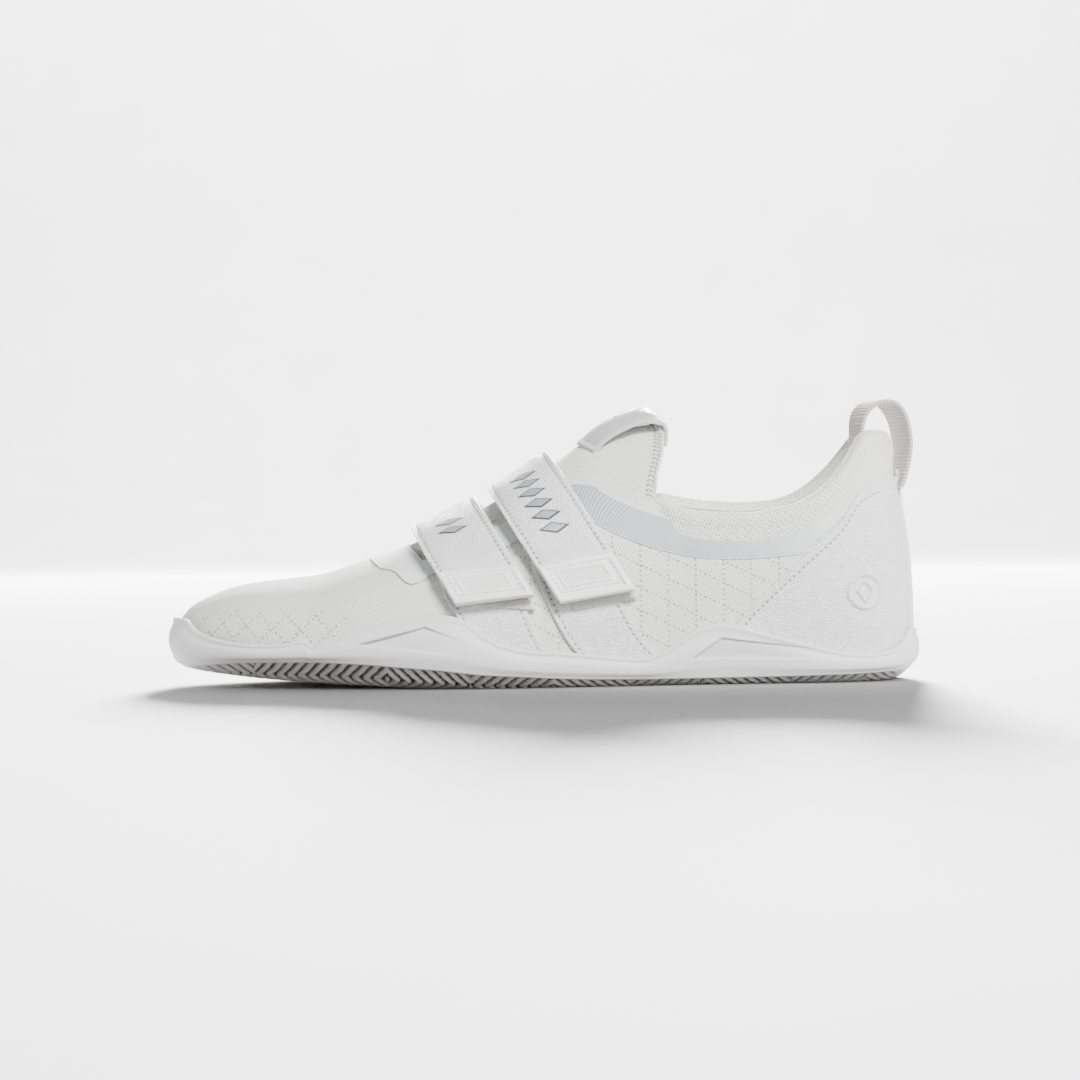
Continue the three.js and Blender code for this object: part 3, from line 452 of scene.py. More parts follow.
class Look:
    """A procedural material. Its patterns are in millimetres, from the uv layer or the object's own space."""

    def __init__(self, name, colour, roughness, **sockets):
        self.material = bpy.data.materials.new(name)
        self.material.use_nodes = True
        self.tree = self.material.node_tree
        self.shader = self.tree.nodes["Principled BSDF"]
        self.base = paint(*colour)
        self.set(self.shader, "Base Color", self.base)
        self.set(self.shader, "Roughness", roughness)
        self.roughness = roughness
        for socket, value in sockets.items():
            self.set(self.shader, socket.replace("_", " "), value)

    def set(self, node, socket, value):
        target = node.inputs[socket]
        if isinstance(value, bpy.types.NodeSocket):
            self.tree.links.new(value, target)
        else:
            target.default_value = value

    def node(self, kind, output=0, settings=None, **sockets):
        node = self.tree.nodes.new("ShaderNode" + kind)
        for key, value in (settings or {}).items():
            setattr(node, key, value)
        for key, value in sockets.items():
            self.set(node, key.replace("_", " "), value)
        return node.outputs[output]

    def math(self, operation, *values):
        node = self.tree.nodes.new("ShaderNodeMath")
        node.operation = operation
        for k, value in enumerate(values):
            self.set(node, k, value)
        return node.outputs[0]

    def times(self, a, b):
        return self.math("MULTIPLY", a, b)

    def plus(self, a, b):
        return self.math("ADD", a, b)

    def rest(self, share):
        """What a share leaves of 1."""
        return self.math("SUBTRACT", 1.0, share)

    def slanted(self, u, a, v, b):
        """Distance along a slanted direction: a of u and b of v."""
        return self.math("MULTIPLY_ADD", u, a, self.times(v, b))

    def uv(self):
        split = self.tree.nodes.new("ShaderNodeSeparateXYZ")
        self.set(split, 0, self.node("TexCoord", "UV"))
        return split.outputs[0], split.outputs[1]

    def space(self):
        return self.node("VectorMath", settings={"operation": "SCALE"},
                         Vector=self.node("TexCoord", "Object"), Scale=1000.0)

    def mark(self, name):
        return self.node("Attribute", "Fac", settings={"attribute_name": name})

    def noise(self, per_mm, detail=2.0, vector=None):
        return self.node("TexNoise", "Fac", Vector=vector or self.space(), Scale=per_mm, Detail=detail)

    def cells(self, per_mm, feature="F1", vector=None):
        return self.node("TexVoronoi", "Distance", settings={"feature": feature},
                         Vector=vector or self.space(), Scale=per_mm)

    def wave(self, value, pitch, phase=0.0):
        """A smooth ridge from 0 to 1 every pitch millimetres."""
        turned = self.math("MULTIPLY_ADD", value, 2 * math.pi / pitch, phase)
        return self.math("MULTIPLY_ADD", self.math("SINE", turned), 0.5, 0.5)

    def nearest(self, value, pitch):
        """Distance in millimetres from the nearest multiple of pitch."""
        share = self.math("FRACT", self.math("DIVIDE", value, pitch))
        return self.times(self.math("ABSOLUTE", self.math("SUBTRACT", share, 0.5)), pitch)

    def step(self, value, low, high):
        return self.node("MapRange", 0, settings={"interpolation_type": "SMOOTHSTEP"},
                         Value=value, From_Min=low, From_Max=high)

    def dots(self, u, v, line, pitch, radius):
        """1 in small holes along lines of constant u, line millimetres apart."""
        across, along = self.nearest(u, line), self.nearest(v, pitch)
        far = self.math("SQRT", self.plus(self.times(across, across), self.times(along, along)))
        return self.step(far, radius, radius * 0.45)

    def tint(self, amount, colour):
        """Mixes the base colour towards another by amount."""
        node = self.tree.nodes.new("ShaderNodeMix")
        node.data_type = "RGBA"
        self.set(node, 0, amount)
        first, second = [k for k, socket in enumerate(node.inputs) if socket.type == "RGBA"]
        current = self.shader.inputs["Base Color"]
        self.set(node, first, current.links[0].from_socket if current.is_linked else self.base)
        self.set(node, second, paint(*colour))
        mixed = next(socket for socket in node.outputs if socket.type == "RGBA")
        self.set(self.shader, "Base Color", mixed)

    def rough(self, amount, to):
        self.set(self.shader, "Roughness", self.node(
            "MapRange", 0, Value=amount, To_Min=self.roughness, To_Max=to))

    def bump(self, height, depth):
        """Raises the surface by height, a value near 0 to 1, times depth millimetres."""
        before = self.shader.inputs["Normal"]
        node = self.tree.nodes.new("ShaderNodeBump")
        node.inputs["Distance"].default_value = depth * MM
        if before.is_linked:
            self.set(node, "Normal", before.links[0].from_socket)
        self.set(node, "Height", height)
        self.set(self.shader, "Normal", node.outputs[0])


def rubber_look():
    k = Look("rubber", (0.865, 0.863, 0.863), 0.52, Specular_IOR_Level=0.4)
    # painted shade: the sunk facets of the side wall are tinted darker
    k.tint(k.mark("facet"), (0.81, 0.807, 0.807))
    k.bump(k.noise(2.2, 3.0), 0.06)
    k.tint(k.step(k.noise(0.03), 0.35, 0.8), (0.84, 0.837, 0.836))
    k.rough(k.noise(0.4), 0.62)
    return k.material


def tread_look():
    k = Look("tread_rubber", (0.83, 0.812, 0.805), 0.62)
    # painted shade: the herringbone grooves are tinted dark
    k.tint(k.step(k.mark("groove"), 0.15, 0.85), (0.40, 0.36, 0.35))
    k.tint(k.times(k.step(k.noise(0.25, 4.0), 0.5, 0.75), 0.5), (0.75, 0.73, 0.72))
    k.bump(k.noise(1.5, 4.0), 0.1)
    return k.material


def knit_look():
    k = Look("engineered_knit", (0.905, 0.903, 0.891), 0.86, Sheen_Weight=0.25, Sheen_Roughness=0.5)
    u, v = k.uv()
    wales = k.wave(k.plus(k.times(u, 0.9), k.times(v, -0.42)), 1.25)
    courses = k.wave(k.plus(k.times(u, 0.42), v), 0.95)
    loops = k.times(wales, courses)
    k.bump(k.plus(loops, k.times(k.noise(1.1, 3.0), 0.8)), 0.3)
    upright = k.dots(u, v, 10.5, 1.9, 0.5)
    falling = k.dots(k.slanted(u, 0.45, v, 0.89), k.slanted(u, 0.89, v, -0.45), 7.6, 1.9, 0.5)
    left = k.dots(k.slanted(u, 0.72, v, 0.69), k.slanted(u, 0.69, v, -0.72), 8.4, 2.3, 0.62)
    right = k.dots(k.slanted(u, -0.72, v, 0.69), k.slanted(u, 0.69, v, 0.72), 8.4, 2.3, 0.62)
    quarter_holes = k.times(k.math("MAXIMUM", upright, falling), k.mark("quarter"))
    toe_holes = k.times(k.math("MAXIMUM", left, right), k.mark("toe_holes"))
    holes = k.math("MAXIMUM", quarter_holes, toe_holes)
    k.bump(k.times(k.wave(k.slanted(u, 1.0, v, 0.35), 1.15), k.mark("collar")), 0.2)
    k.bump(k.rest(holes), 0.45)
    # painted shade: the sunk holes are tinted dark
    k.tint(k.times(holes, 0.75), (0.76, 0.75, 0.70))
    # painted shade between the knit loops, where the bump is low
    k.tint(k.times(k.rest(loops), 0.16), (0.80, 0.80, 0.79))
    k.tint(k.times(k.mark("collar"), 0.5), (0.93, 0.925, 0.895))
    return k.material


def rib_look():
    k = Look("rib_knit", (0.915, 0.912, 0.90), 0.85, Sheen_Weight=0.25, Sheen_Roughness=0.5)
    u, v = k.uv()
    ribs = k.wave(k.plus(v, k.times(k.noise(0.5), 0.3)), 1.2)
    loops = k.wave(u, 0.75)
    k.bump(k.times(ribs, k.math("MULTIPLY_ADD", loops, 0.35, 0.65)), 0.42)
    # painted shade in the valleys between the ribs
    k.tint(k.times(k.rest(ribs), 0.35), (0.80, 0.795, 0.78))
    return k.material


def lining_look():
    k = Look("lining_cloth", (0.90, 0.90, 0.885), 0.9, Sheen_Weight=0.3)
    u, v = k.uv()
    net = k.dots(u, v, 1.5, 1.5, 0.42)
    k.bump(k.rest(net), 0.25)
    k.bump(k.noise(1.4, 3.0), 0.12)
    # painted shade in the holes of the net
    k.tint(k.times(net, 0.4), (0.74, 0.74, 0.72))
    return k.material


def leather_look(name, colour, grain=0.27, roughness=0.46):
    k = Look(name, colour, roughness, Specular_IOR_Level=0.45, Coat_Weight=0.06, Coat_Roughness=0.35)
    pebbles = k.step(k.cells(0.95, "DISTANCE_TO_EDGE"), 0.0, 0.28)
    fine = k.cells(2.3, "F1")
    k.bump(k.plus(pebbles, k.times(fine, 0.45)), grain)
    k.bump(k.noise(0.16), grain * 1.5)
    # painted shade in the crevices between the pebbles
    k.tint(k.times(k.rest(pebbles), 0.22), tuple(c * 0.9 for c in colour))
    k.rough(k.noise(0.5), roughness + 0.1)
    return k.material


def film_look():
    k = Look("smooth_film", (0.885, 0.89, 0.89), 0.42, Specular_IOR_Level=0.45)
    k.bump(k.noise(0.9, 4.0), 0.07)
    k.rough(k.noise(0.3), 0.5)
    return k.material


def cut_look():
    k = Look("heat_cut_edge", (0.66, 0.62, 0.54), 0.6)
    k.tint(k.noise(0.5), (0.78, 0.75, 0.68))
    return k.material


def silver_look():
    k = Look("reflective_film", (0.66, 0.68, 0.70), 0.42, Metallic=0.15)
    u, v = k.uv()
    twill = k.wave(k.plus(u, v), 1.15)
    fine = k.wave(k.math("SUBTRACT", u, v), 1.3)
    weave = k.times(k.times(twill, fine), k.mark("twill"))
    k.tint(k.mark("twill"), (0.70, 0.72, 0.735))
    k.tint(k.times(weave, 0.8), (0.56, 0.59, 0.62))
    k.tint(k.mark("rear"), (0.79, 0.80, 0.805))
    k.bump(weave, 0.16)
    k.rough(k.mark("twill"), 0.5)
    return k.material


def moulded_look():
    k = Look("moulded_tab", (0.935, 0.932, 0.915), 0.36, Specular_IOR_Level=0.5, Subsurface_Weight=0.06)
    u, v = k.uv()
    pips = k.times(k.times(k.wave(u, 1.05), k.wave(v, 1.05)), k.mark("field"))
    k.bump(pips, 0.3)
    k.bump(k.noise(1.2, 3.0), 0.05)
    k.rough(k.mark("field"), 0.6)
    return k.material


def webbing_look():
    k = Look("webbing", (0.775, 0.75, 0.735), 0.8, Sheen_Weight=0.3)
    u, v = k.uv()
    ribs = k.wave(u, 1.35)
    weave = k.wave(v, 1.0)
    k.bump(k.times(ribs, k.math("MULTIPLY_ADD", weave, 0.3, 0.7)), 0.4)
    # painted shade in the valleys between the ribs
    k.tint(k.times(k.rest(ribs), 0.4), (0.62, 0.595, 0.575))
    return k.material


def tape_look(name, depth, per_mm):
    k = Look(name, (0.88, 0.876, 0.86), 0.95, Sheen_Weight=0.5)
    k.bump(k.cells(per_mm), depth)
    k.bump(k.noise(3.0, 5.0), depth)
    k.tint(k.times(k.noise(1.4, 4.0), 0.5), (0.74, 0.73, 0.71))
    return k.material


def thread_look():
    k = Look("thread", (0.915, 0.912, 0.90), 0.7, Sheen_Weight=0.2)
    k.bump(k.noise(4.0, 3.0), 0.1)
    k.tint(k.noise(0.8), (0.86, 0.855, 0.84))
    return k.material


def foil_look():
    k = Look("foil_print", (0.78, 0.79, 0.80), 0.3, Metallic=0.55)
    k.bump(k.noise(0.8, 3.0), 0.12)
    k.rough(k.noise(0.9), 0.36)
    return k.material


def plain_look(name, colour, roughness, per_mm, depth):
    k = Look(name, colour, roughness)
    k.bump(k.noise(per_mm, 4.0), depth)
    k.tint(k.noise(per_mm * 0.4), tuple(c * 0.94 for c in colour))
    return k.material


RUBBER, TREAD, KNIT_CLOTH, RIB = rubber_look(), tread_look(), knit_look(), rib_look()
LINING = lining_look()
LEATHER = leather_look("pebbled_leather", (0.93, 0.932, 0.933))
SMOOTH_LEATHER = leather_look("smooth_leather", (0.735, 0.735, 0.74), grain=0.06, roughness=0.42)
FILM, CUT, SILVER, MOULDED, WEBBING = film_look(), cut_look(), silver_look(), moulded_look(), webbing_look()
HOOK_TAPE, LOOP_TAPE = tape_look("hook_tape", 0.25, 2.2), tape_look("loop_tape", 0.4, 1.4)
THREAD, FOIL = thread_look(), foil_look()
FOAM = plain_look("foam", (0.93, 0.92, 0.88), 0.9, 1.6, 0.2)
FIBRE = plain_look("fibre_board", (0.86, 0.84, 0.78), 0.9, 0.9, 0.15)
DARK_CUT = plain_look("dark_cut_edge", (0.42, 0.39, 0.34), 0.7, 1.0, 0.05)
# dark beads of painted shade for needle holes
HOLE_SHADE = plain_look("needle_hole_shade", (0.56, 0.555, 0.55), 0.9, 1.0, 0.05)
INK = plain_look("ink_outline", (0.30, 0.30, 0.31), 0.5, 1.0, 0.04)
SHADOW_GAP = plain_look("edge_shadow", (0.62, 0.61, 0.59), 0.8, 1.0, 0.05)


# ---------- sole ----------
tread_top = curve(graded([
    [-145, 13], [-142.7, 9.9], [-139.7, 8.6], [-131.9, 8.3], [-123.2, 9.1], [-114, 9.7], [-95, 10.1],
    [-86.7, 10.1], [-74.9, 9.7], [-63, 9], [-52, 8], [-37.8, 6.8], [-22.7, 5], [-7.9, 4.1], [7.2, 3.2],
    [18.6, 2.7], [47.5, 2.3], [74.6, 2.4], [109, 2.8], [122.5, 3.1], [137, 3.8], [145, 6]]))


def wall_frame(tau):
    """Foot point and outward level direction of the wall at stations."""
    foot = last_point(tau, np.zeros_like(tau))
    level = last_normal(tau, np.zeros_like(tau))
    level[..., 2] = 0
    return foot, unit(level)


def wall_point(tau, z, out):
    """Point on the rubber wall at an exact height."""
    tau, z, out = np.broadcast_arrays(tau, z, out)
    foot, level = wall_frame(tau)
    on_last = last_point(tau, q_at_height(tau, z))
    above = z > foot[..., 2]
    point = np.where(above[..., None], on_last, foot) + level * out[..., None]
    point[..., 2] = z
    return point


def wedge_inset(x, z):
    """Depth of the two sunk facets in the side wall, each under an overhang and over a ledge."""
    def facet(apex, peak, end, top_depth, low_depth, fade):
        low = np.interp(x, [apex[0], end[0]], [apex[1], end[1]])
        high = np.interp(x, [apex[0], peak[0], end[0]], [apex[1], peak[1], end[1] + 0.4 * (peak[1] - end[1])])
        depth = mix(low_depth, top_depth, np.clip((z - low) / np.maximum(high - low, 0.5), 0, 1))
        inside = smooth(z - low, 0, 0.4) * smooth(high - z, 0, 0.5) * ((x > apex[0]) & (x < end[0]))
        return depth * inside * (1 - smooth(x, *fade))

    front = facet((-68.9, 16.9), (-43, 23.2), (-24, 11.4), 2.2, 1.3, (-58, -25))
    rear = facet((55.3, 9.7), (66.8, 17.6), (107, 9.1), 1.0, 2.0, (74, 108))
    return front + rear


def side_wall():
    """The rubber wall from its lower corner over the rim lip. Returns the lower edge, for the tread."""
    stations = np.linspace(0, ROUND, 1601)[:-1]
    foot, level = wall_frame(stations)
    x = foot[:, 0] + level[:, 0] * WALL_OUT
    low, rim = tread_top(x), rim_height(x)
    corner, lip, inner_out, body_rows = 0.9, 1.15, 0.5, 46
    rows, outs = [], []
    for angle in np.linspace(0, math.pi / 2, 5):
        rows.append(low + corner * (1 - math.cos(angle)) * 0.8)
        outs.append(WALL_OUT - 0.7 + corner * (math.sin(angle) - 1))
    for k in range(1, body_rows + 1):
        share = k / body_rows
        rows.append(mix(low + corner * 0.8, rim - lip, share))
        swell = 0.75 * math.sin(math.pi * min(share * 1.1, 1)) ** 0.8
        waist = -0.35 * math.exp(-((share - 0.86) / 0.12) ** 2)
        outs.append(WALL_OUT - 0.7 + 0.5 * smooth(share, 0, 0.25) + swell + waist + 0.2 * share)
    for angle in np.linspace(0, math.pi, 11)[1:]:
        rows.append(rim - lip + lip * math.sin(angle))
        outs.append(WALL_OUT - lip + lip * math.cos(angle))
    rows += [rim - lip - 1.2, rim - lip - 4]
    outs += [inner_out, inner_out - 0.2]
    z = np.stack(np.broadcast_arrays(*rows), 1)
    out = np.stack([np.broadcast_to(o, stations.shape) for o in outs], 1)
    point = wall_point(stations[:, None], z, out)
    inset = wedge_inset(point[..., 0], z)
    outward = np.arange(len(rows))[None, :] < 5 + body_rows
    point = point - level[:, None] * (inset * outward)[..., None]
    # the facet mark carries painted shade into the sunk facets
    make("sole_wall", point, grid_quads(len(stations), len(rows), close_n=True)[:, ::-1], RUBBER, "shoe",
         marks={"facet": smooth(inset * outward, 0.2, 1.2)}, replaces=["outsole"], slot="rubber", sharp=55)
    return point[:, 0]


TREAD_PITCH, TREAD_DEPTH, ZIGZAG = 4.1, 1.7, 12.5
TURNS = np.array([-108, -57, -27, 4, 32, 62, 93, 122]) * GRADE_X


def groove_share(x, y):
    """1 in the herringbone grooves and 0 on the blocks; the herringbone turns round at some stations."""
    lateral = outline(station_at(x))[1]
    across = y - lateral + 3.5
    leg = np.abs((across / ZIGZAG) % 1 - 0.5) * ZIGZAG
    way = np.where(np.searchsorted(TURNS, x) % 2 == 0, 1, -1)
    phase = ((x + way * leg * 1.15) / TREAD_PITCH) % 1
    return smooth(0.25 - np.abs(phase - 0.5), -0.04, 0.04)


def tread(edge):
    """The underside: a bevel that curls in from the wall's lower edge, then the flat, cut by grooves."""
    steps = np.concatenate([np.linspace(0, 12, 34)[:-1], np.linspace(12, 60, 100)])
    centre = np.stack([np.clip(edge[:, 0], -98, 104), np.interp(edge[:, 0], OUTLINE[:, 0], OUTLINE[:, 2]),
                       np.zeros(len(edge))], -1)
    inward = centre - edge
    inward[:, 2] = 0
    reach = np.linalg.norm(inward, axis=1)
    share = np.minimum(steps[None, :] / reach[:, None], 1)
    point = edge[:, None] + inward[:, None] * share[..., None]
    x, y, distance = point[..., 0], point[..., 1], share * reach[:, None]
    bottom = bottom_height(x)
    rise = np.maximum(edge[:, None, 2] - bottom, 0.5)
    width = 1.5 + 1.15 * rise
    flat = bottom + rise * (1 - np.clip(distance / width, 0, 1)) ** 1.8
    groove = groove_share(x, y) * smooth(distance, 0.15, 0.7)
    point[..., 2] = flat + TREAD_DEPTH * groove
    # the groove mark also carries painted shade into the grooves
    make("tread", point, grid_quads(*share.shape, close_n=True), TREAD, "shoe",
         marks={"groove": groove}, slot="rubber", sharp=50)


# ---------- knit ----------
ROLL = [  # over the collar: height above the knit's edge, distance out
    (-3.0, 0.15), (-1.0, 0.5), (0.8, 0.55), (2.3, 0.15), (3.4, -0.9), (4.0, -2.4), (4.1, -3.9), (3.6, -5.3),
    (2.4, -6.5), (0.9, -7.2)]


def round_spline(points, count):
    """Catmull-Rom through a short list of points."""
    points = np.asarray(points, float)
    extended = np.concatenate([[2 * points[0] - points[1]], points, [2 * points[-1] - points[-2]]])
    at = np.linspace(0, len(points) - 1, count)
    i = np.minimum(at.astype(int), len(points) - 2)
    return catmull(*(extended[i + k] for k in range(4)), (at - i)[:, None])


ROLL_ROWS = round_spline(ROLL, 22)


def roll_share(x):
    return smooth(x, COLLAR_START + 0.5, COLLAR_START + 7)


def collar_puff(x, z, edge):
    """The padded collar stands a little proud between the band and its roll."""
    return 0.9 * smooth(z, edge - 13, edge - 4) * smooth(x, COLLAR_START, COLLAR_START + 14)


SIDE_ROWS, BRIDGE_ROWS = 84, 70


def knit_side(side, stations):
    """Rows from the sole up over the collar's roll: outer, inner, collar share, and q of the knit's edge."""
    x, share = outline(stations)[0], roll_share(outline(stations)[0])
    open_tau = np.maximum(stations, THROAT_START)
    edge = knit_edge(open_tau, side)
    tau, top_tau = on_side(side, stations), on_side(side, open_tau)
    q_edge = q_at_height(top_tau, edge)
    q_top = q_at_height(top_tau, edge + share * ROLL_ROWS[0, 0])
    outer, inner, mark = [], [], []
    for k in range(SIDE_ROWS):
        q = q_top * k / SIDE_ROWS
        z = last_point(tau, q)[..., 2]
        outer.append(offset_point(tau, q, collar_puff(x, z, edge) * share))
        inner.append(offset_point(tau, q, -KNIT))
        mark.append(smooth(z, edge - 11, edge - 3) * share)
    for rise, out in ROLL_ROWS:
        q = q_at_height(top_tau, edge + share * rise)
        out = out * share + collar_puff(x, edge, edge) * share * smooth(out, -4, 0)
        outer.append(offset_point(tau, q, out))
        inner.append(offset_point(tau, np.minimum(q, q_edge), -KNIT) - [0, 0, 0.01])
        mark.append(share)
    return outer, inner, mark, q_edge


def knit_upper():
    """One shell from toe to heel: both sides, and the bridge over the vamp as far as the throat."""
    stations = np.unique(np.concatenate([np.linspace(0, HEEL, 420), [THROAT_START]]))
    lateral, lateral_in, mark_l, q_l = knit_side(LATERAL, stations)
    medial, medial_in, mark_m, q_m = knit_side(MEDIAL, stations)
    across = [crossing(stations, mix(q_l, 2 - q_m, k / BRIDGE_ROWS)) for k in range(1, BRIDGE_ROWS)]
    bridge, bridge_in = ([offset_point(tau, q, out) for tau, q in across] for out in (0, -KNIT))
    outer = np.stack(lateral + bridge + medial[::-1], 1)
    inner = np.stack(lateral_in + bridge_in + medial_in[::-1], 1)
    collar = np.stack(mark_l + [np.zeros_like(stations)] * len(across) + mark_m[::-1], 1)
    first = len(lateral) - 1
    has = np.ones((outer.shape[0] - 1, outer.shape[1] - 1), bool)
    has[stations[:-1] >= THROAT_START, first:first + BRIDGE_ROWS] = False
    up = arc(np.moveaxis(outer, 1, 0)).T
    half = outer.shape[1] // 2
    v = np.where(np.arange(outer.shape[1])[None] <= half, up, up[:, -1:] - up)
    u = arc(last_point(stations, np.zeros_like(stations)))[:, None] + 0 * v
    x, z = outer[..., 0], outer[..., 2]
    quarter = smooth(x, -32, -14) * (1 - smooth(z, 52, 64)) * (1 - smooth(x, 112, 120))
    toe = (1 - smooth(x, -80, -62)) * (1 - smooth(v, 16, 25))
    # quarter and toe_holes place the knit's holes, which are sunk and tinted with painted shade
    shell("knit_shell", outer, inner, KNIT_CLOTH, "shoe", has=has, uv=np.stack([u, v], -1),
          marks={"collar": collar, "quarter": quarter * (1 - collar), "toe_holes": toe},
          replaces=["knit_upper"], slot="knit", sharp=70)


# ---------- collar lining, piping and footbed ----------
def heel_run(first, count):
    """tau from the lateral side round the heel to the medial side, and the station of each."""
    tau = np.linspace(first, ROUND - first, count)
    return tau, np.where(tau <= HEEL, tau, ROUND - tau)


def lining():
    """The padded collar's inner face, down to the footbed, and the piping along its top."""
    tau, station = heel_run(station_at(COLLAR_START + 1.5), 260)
    edge = np.where(tau <= HEEL, knit_edge(station, LATERAL), knit_edge(station, MEDIAL))
    x = outline(station)[0]
    share = roll_share(x)
    floor, steps = base_height(x) + 1.6, 24
    rows = [(edge + rise, out) for rise, out in ((1.6, -6.9), (0.2, -7.4), (-3, -7.9), (-7, -7.6))]
    for k in range(1, steps + 1):
        z = mix(edge - 7, floor, k / steps)
        rows.append((z, mix(-7.5, -4.8, smooth(edge - z, 8, 22))))
    outer = np.stack([offset_point(tau, q_at_height(tau, z), mix(-1.7, out, share)) for z, out in rows], 1)
    facing = [last_normal(tau, q_at_height(tau, row[:, 2])) for row in np.moveaxis(outer, 1, 0)]
    inner = outer + 0.6 * np.stack(facing, 1)
    uv = stack(arc(outer[:, 0])[:, None], arc(np.moveaxis(outer, 1, 0)).T)
    piece = shell("collar_padding", outer, inner, LINING, "shoe", uv=uv, replaces=["collar_lining"],
                  slot="lining_cloth", sharp=80)
    q = q_at_height(tau, edge + 1.2)
    line = offset_point(tau, q, mix(-1.4, -7.1, share))
    tube("collar_piping", line, 0.65, THREAD, "shoe", sides=8, slot="lining_cloth")


def slab(name, inset, top, bottom, look, **more):
    """A layer on the shoe's floor. top and bottom give heights from x, share across and foot height."""
    stations = np.linspace(0.02, HEEL - 0.02, 240)
    across = np.linspace(-1, 1, 61)
    foot = base_height(outline(stations)[0])[:, None]
    low = offset_point(stations, np.zeros_like(stations), -inset)
    high = offset_point(ROUND - stations, np.zeros_like(stations), -inset)
    outer = mix(low[:, None], high[:, None], ((across + 1) / 2)[None, :, None])
    x = outer[..., 0]
    inner = outer.copy()
    outer[..., 2] = top(x, across[None, :], foot)
    inner[..., 2] = bottom(x, across[None, :], foot)
    return shell(name, outer, inner, look, "shoe", uv=outer[..., :2], sharp=60, **more)


def footbed():
    """Contoured insole under a cloth top: a shallow heel cup and an arch on the inner side."""
    def top(x, across, foot):
        cup = 2.4 * np.abs(across) ** 4 * smooth(x, 40, 110)
        arch = 2.2 * smooth(across, 0.1, 1) * np.exp(-((x - 25) / 38) ** 2)
        return foot + 5.45 + cup + arch

    def level(rise):
        return lambda x, across, foot: foot + rise

    slab("footbed", 4.6, top, level(1.7), LINING, replaces=["insole", "insole_cover"], slot="lining_cloth")
    slab("cushion", 1.8, level(-0.1), level(-2.6), FOAM, replaces=["midsole_foam"], slot="foam")


# ---------- film, band, overlays ----------
film_edge = curve(graded([
    [-60.4, 44.1], [-57.3, 43.7], [-55.2, 43], [-52.7, 40.9], [-50.4, 39], [-48.5, 38.5], [-46, 38.9],
    [-43.8, 40.1], [-41.3, 41.6], [-12.7, 52.1], [-8.4, 54.3], [8, 63]]))


def film():
    """Smooth film round the throat: a bridge over the vamp, a rounded opening, and an arm on each side."""
    open_x = float(outline(THROAT_START)[0])
    arm, middle, bridge, columns = 24, 48, 26, 150
    rounded_length = 6.5

    def station_x(i, psi):
        spread = np.minimum(np.abs(psi - 1) / 0.345, 1) ** 2.5
        front = mix(-65.8, -60.4, spread) * GRADE_X
        if i <= bridge:
            return mix(front, open_x, i / bridge)
        return np.full_like(psi, mix(open_x, 8 * GRADE_X, ((i - bridge) / (columns - bridge)) ** 1.3))

    def limits(i, side):
        x = float(station_x(i, np.zeros(1))[0])
        tau = on_side(side, station_at(x))
        if i <= bridge:
            opened = mix(1, 0.02, (i / bridge) ** 2)
        else:
            opened = max(0.02, min((x - open_x) / rounded_length, 1) ** 0.5)
        high = q_at_height(tau, throat_edge(max(x, open_x)) - 0.5)
        return q_at_height(tau, film_edge(x)), mix(1.0, high, opened)

    grid = []
    for i in range(columns + 1):
        (ll, lh), (ml, mh) = limits(i, LATERAL), limits(i, MEDIAL)
        psi = np.concatenate([np.linspace(ll, lh, arm + 1)[:-1], np.linspace(lh, 2 - mh, middle + 1)[:-1],
                              np.linspace(2 - mh, 2 - ml, arm + 1)])
        grid.append(np.stack(crossing(station_at(station_x(i, psi)), psi), -1))
    grid = np.array(grid)
    has = np.ones((columns, grid.shape[1] - 1), bool)
    has[bridge:, arm:arm + middle] = False
    outer = offset_point(grid[..., 0], grid[..., 1], 0.55)
    inner = offset_point(grid[..., 0], grid[..., 1], -0.1)
    shell("instep_film_skin", outer, inner, FILM, "shoe", has=has, uv=outer[..., [0, 2]],
          replaces=["instep_film"], slot="film", sharp=40)
    rim = np.concatenate([grid[::-1, 0], grid[0, 1:-1], grid[:, -1]])
    throat = np.concatenate([
        grid[bridge:, arm][::-1], grid[bridge, arm:arm + middle], grid[bridge:, arm + middle]])
    for name, line, out, radius, look in (
            ("film", rim, 0.42, 0.2, CUT), ("throat", throat, 0.3, 0.28, DARK_CUT)):
        tube(name + "_cut_edge", offset_point(line[:, 0], line[:, 1], out), radius, look, "shoe", sides=6,
             slot="film")


band_top = curve(graded([
    [8, 75], [13, 75.8], [18.6, 75.3], [26.8, 70.4], [40.9, 64.6], [59.6, 59.5], [74.5, 58.6], [89.5, 58.8],
    [104.5, 60.9], [122.5, 64.5]]))
band_bottom = curve(graded([
    [8, 69], [19.1, 61.8], [29.5, 56.1], [44.4, 50.7], [59.2, 47.6], [74.1, 46.9], [92.8, 48], [111.5, 50]]))


def band(side, label):
    def place(a, b):
        x = mix(mix(17, 9, b), mix(98, 115, b), a) * GRADE_X
        tau, q = locate(x, mix(band_bottom(x), band_top(x) - 0.4, b))
        return on_side(side, tau), q

    edged_panel("reflective_band_skin_" + label, place, (104, 12.5), (180, 22), 0.62, SILVER, radius=0.35,
                sink=-0.1, marks={
                    "twill": lambda u, v, edge, p: 1 - smooth(p[..., 0], 47, 53),
                    "rear": lambda u, v, edge, p: smooth(p[..., 0], 55, 108)},
                replaces=["reflective_band_" + label], slot="silver_film")
    for b, tag in ((0.0, "lower"), (1.0, "upper")):
        tau, q = place(np.linspace(0, 1, 120), np.full(120, b))
        tube(f"band_edge_{tag}_{label}", offset_point(tau, q, 0.3), 0.32, THREAD, "shoe", sides=6,
             slot="silver_film")


heel_edge = curve(graded([
    [67.4, 19.4], [80.6, 31.2], [96.9, 46], [113.2, 60.8], [120.4, 71], [127.2, 75], [132.1, 76.5]]))
PANEL_TUCK = 4.0


def seat(tau):
    x = last_point(tau, np.zeros_like(tau))[..., 0]
    return np.maximum(rim_height(x) - PANEL_TUCK, base_height(x) + 0.5)


EMBLEM = np.array([121.0, 34.0])


